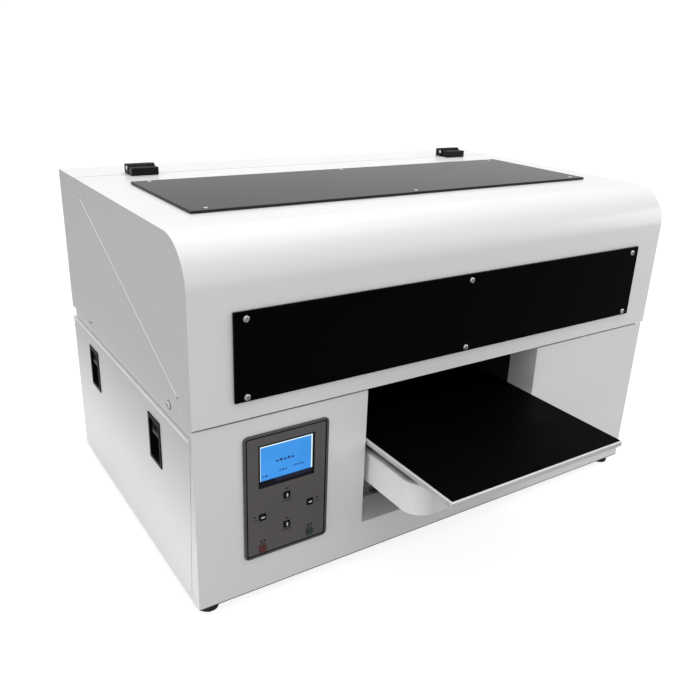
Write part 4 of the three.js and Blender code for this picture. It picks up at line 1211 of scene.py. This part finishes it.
# ---------------------------------------------------------------- back of the case
def make_fan_guard():
    low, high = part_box("fan_frame")
    centre = Vector(((low.x + high.x) / 2, high.y + 3.2 * MM, (low.z + high.z) / 2))
    eye_reach = 45 * MM
    rings = []
    screw_places = []
    for radius in (10 * MM, 19 * MM, 28 * MM, 36.5 * MM):
        deselect()
        bpy.ops.mesh.primitive_torus_add(location=centre, rotation=(math.pi / 2, 0.0, 0.0),
                                         major_radius=radius, minor_radius=0.9 * MM,
                                         major_segments=64, minor_segments=10)
        ring = bpy.context.object
        bpy.ops.object.transform_apply(location=True, rotation=True, scale=True)
        rings.append(ring)
    for quarter in range(4):
        angle = math.radians(45 + 90 * quarter)
        spoke = start_rod("spoke", (24 * MM, 0.0, 0.0), 0.9 * MM, 34 * MM, "X", 10)
        spoke.data.transform(Matrix.Translation(centre) @ Matrix.Rotation(angle, 4, "Y"))
        rings.append(spoke)
        eye_place = centre + Vector((math.cos(angle), 0.0, -math.sin(angle))) * eye_reach
        screw_places.append(eye_place + Vector((0.0, 0.8 * MM, 0.0)))
        eye = start_rod("eye", eye_place, 4 * MM, 1.6 * MM, "Y", 24)
        round_edges(eye, 0.4 * MM, 2)
        rings.append(eye)
        arm = start_rod("arm", (40 * MM, 0.0, 0.0), 0.9 * MM, 8 * MM, "X", 10)
        arm.data.transform(Matrix.Translation(centre) @ Matrix.Rotation(angle, 4, "Y"))
        rings.append(arm)
    guard = weld("fan_guard", rings)
    finish(guard, "base", "steel")
    add_screws("fan_guard_screws", 3.0 * MM, 1.6 * MM, screw_places, (0, 1, 0), "base")


def make_inlet():
    refine("power_inlet", 0.5 * MM, 2)
    refine("power_switch", 0.6 * MM, 3)
    low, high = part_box("power_inlet")
    x = (low.x + high.x) / 2
    z = low.z + 14.5 * MM
    blades = []
    for dx, dz in ((-7 * MM, -1.5 * MM), (7 * MM, -1.5 * MM), (0.0, 2.5 * MM)):
        blade = start_box("blade", (x + dx - 1 * MM, high.y - 16 * MM, z + dz - 2.2 * MM),
                          (x + dx + 1 * MM, high.y - 4 * MM, z + dz + 2.2 * MM))
        round_edges(blade, 0.5 * MM, 2)
        blades.append(blade)
    pins = weld("inlet_blades", blades)
    finish(pins, "base", "steel", extras["brass"])


# ---------------------------------------------------------------- inside the machine
def make_board_details():
    """Chips in rows and a few capacitor cans on the mainboard's free places."""
    low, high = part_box("mainboard")
    board_z = 35.6 * MM
    chips = []
    for column in range(4):
        for row in range(2):
            x = low.x + (14 + 15 * column) * MM
            y = low.y + (78 + 14 * row) * MM
            chips.append(start_box("chip", (x, y, board_z - 0.2 * MM),
                                   (x + 9 * MM, y + 7 * MM, board_z + 1.8 * MM)))
    for column in range(6):
        x = high.x - (14 + 7 * column) * MM
        chips.append(start_box("plug_row", (x, low.y + 138 * MM, board_z - 0.2 * MM),
                               (x + 5 * MM, low.y + 146 * MM, board_z + 9 * MM)))
    parts = weld("mainboard_chips", chips)
    round_edges(parts, 0.4 * MM, 2)
    finish(parts, "base", "black_plastic")
    cans = [start_rod("can", (high.x - (18 + 13 * index) * MM, low.y + 84 * MM, board_z + 7 * MM),
                      4.5 * MM, 14.4 * MM, "Z", 24) for index in range(3)]
    capacitors = weld("mainboard_capacitors", cans)
    round_edges(capacitors, 0.8 * MM, 3, 50.0)
    finish(capacitors, "base", "aluminium")


def make_supply_vents():
    """Rows of vent slots cut in the power supply's cover."""
    low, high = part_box("power_supply")
    slots = []
    for column in range(5):
        for row in range(8):
            x = low.x + (14 + 16 * column) * MM
            y = low.y + (30 + 16 * row) * MM
            slots.append(start_box("slot", (x, y, high.z - 1.2 * MM),
                                   (x + 10 * MM, y + 5 * MM, high.z + 5 * MM)))
    refine("power_supply", 0.5 * MM, 2, cutters=[weld("vent_cutter", slots)])


def make_inner_parts():
    for node in ("printhead_carriage", "print_head", "uv_lamp", "gantry_frame", "table_carriage",
                 "capping_station", "ink_tank_bank", "mainboard", "fan_frame"):
        refine(node, 0.5 * MM, 2)
    for node in ("table_rail_left", "table_rail_right", "lift_screw", "carriage_idler_pulley",
                 "carriage_motor_pulley", "table_drive_shaft", "fan_rotor"):
        refine(node, 0.3 * MM, 2, 50.0)
    # The tunnel liner's matt black is painted shade: it hides the inside behind the opening so that
    # it shows as dark.
    for node in ("tunnel_liner", "carriage_belt"):
        refine(node, 0.2 * MM, 1, 50.0)


add_camera()
add_studio()
add_floor()
make_hood()
make_windows()
make_seam_beads()
make_hems()
make_case()
make_feet()
make_bezel()
make_screen()
for key_node in KEYS:
    make_key(key_node)
make_keypad_marks()
make_latches()
make_hinges()
make_table()
make_table_housing()
make_table_gasket()
make_table_drive()
make_motor_details()
make_fan_guard()
make_inlet()
make_inner_parts()
make_board_details()
make_supply_vents()
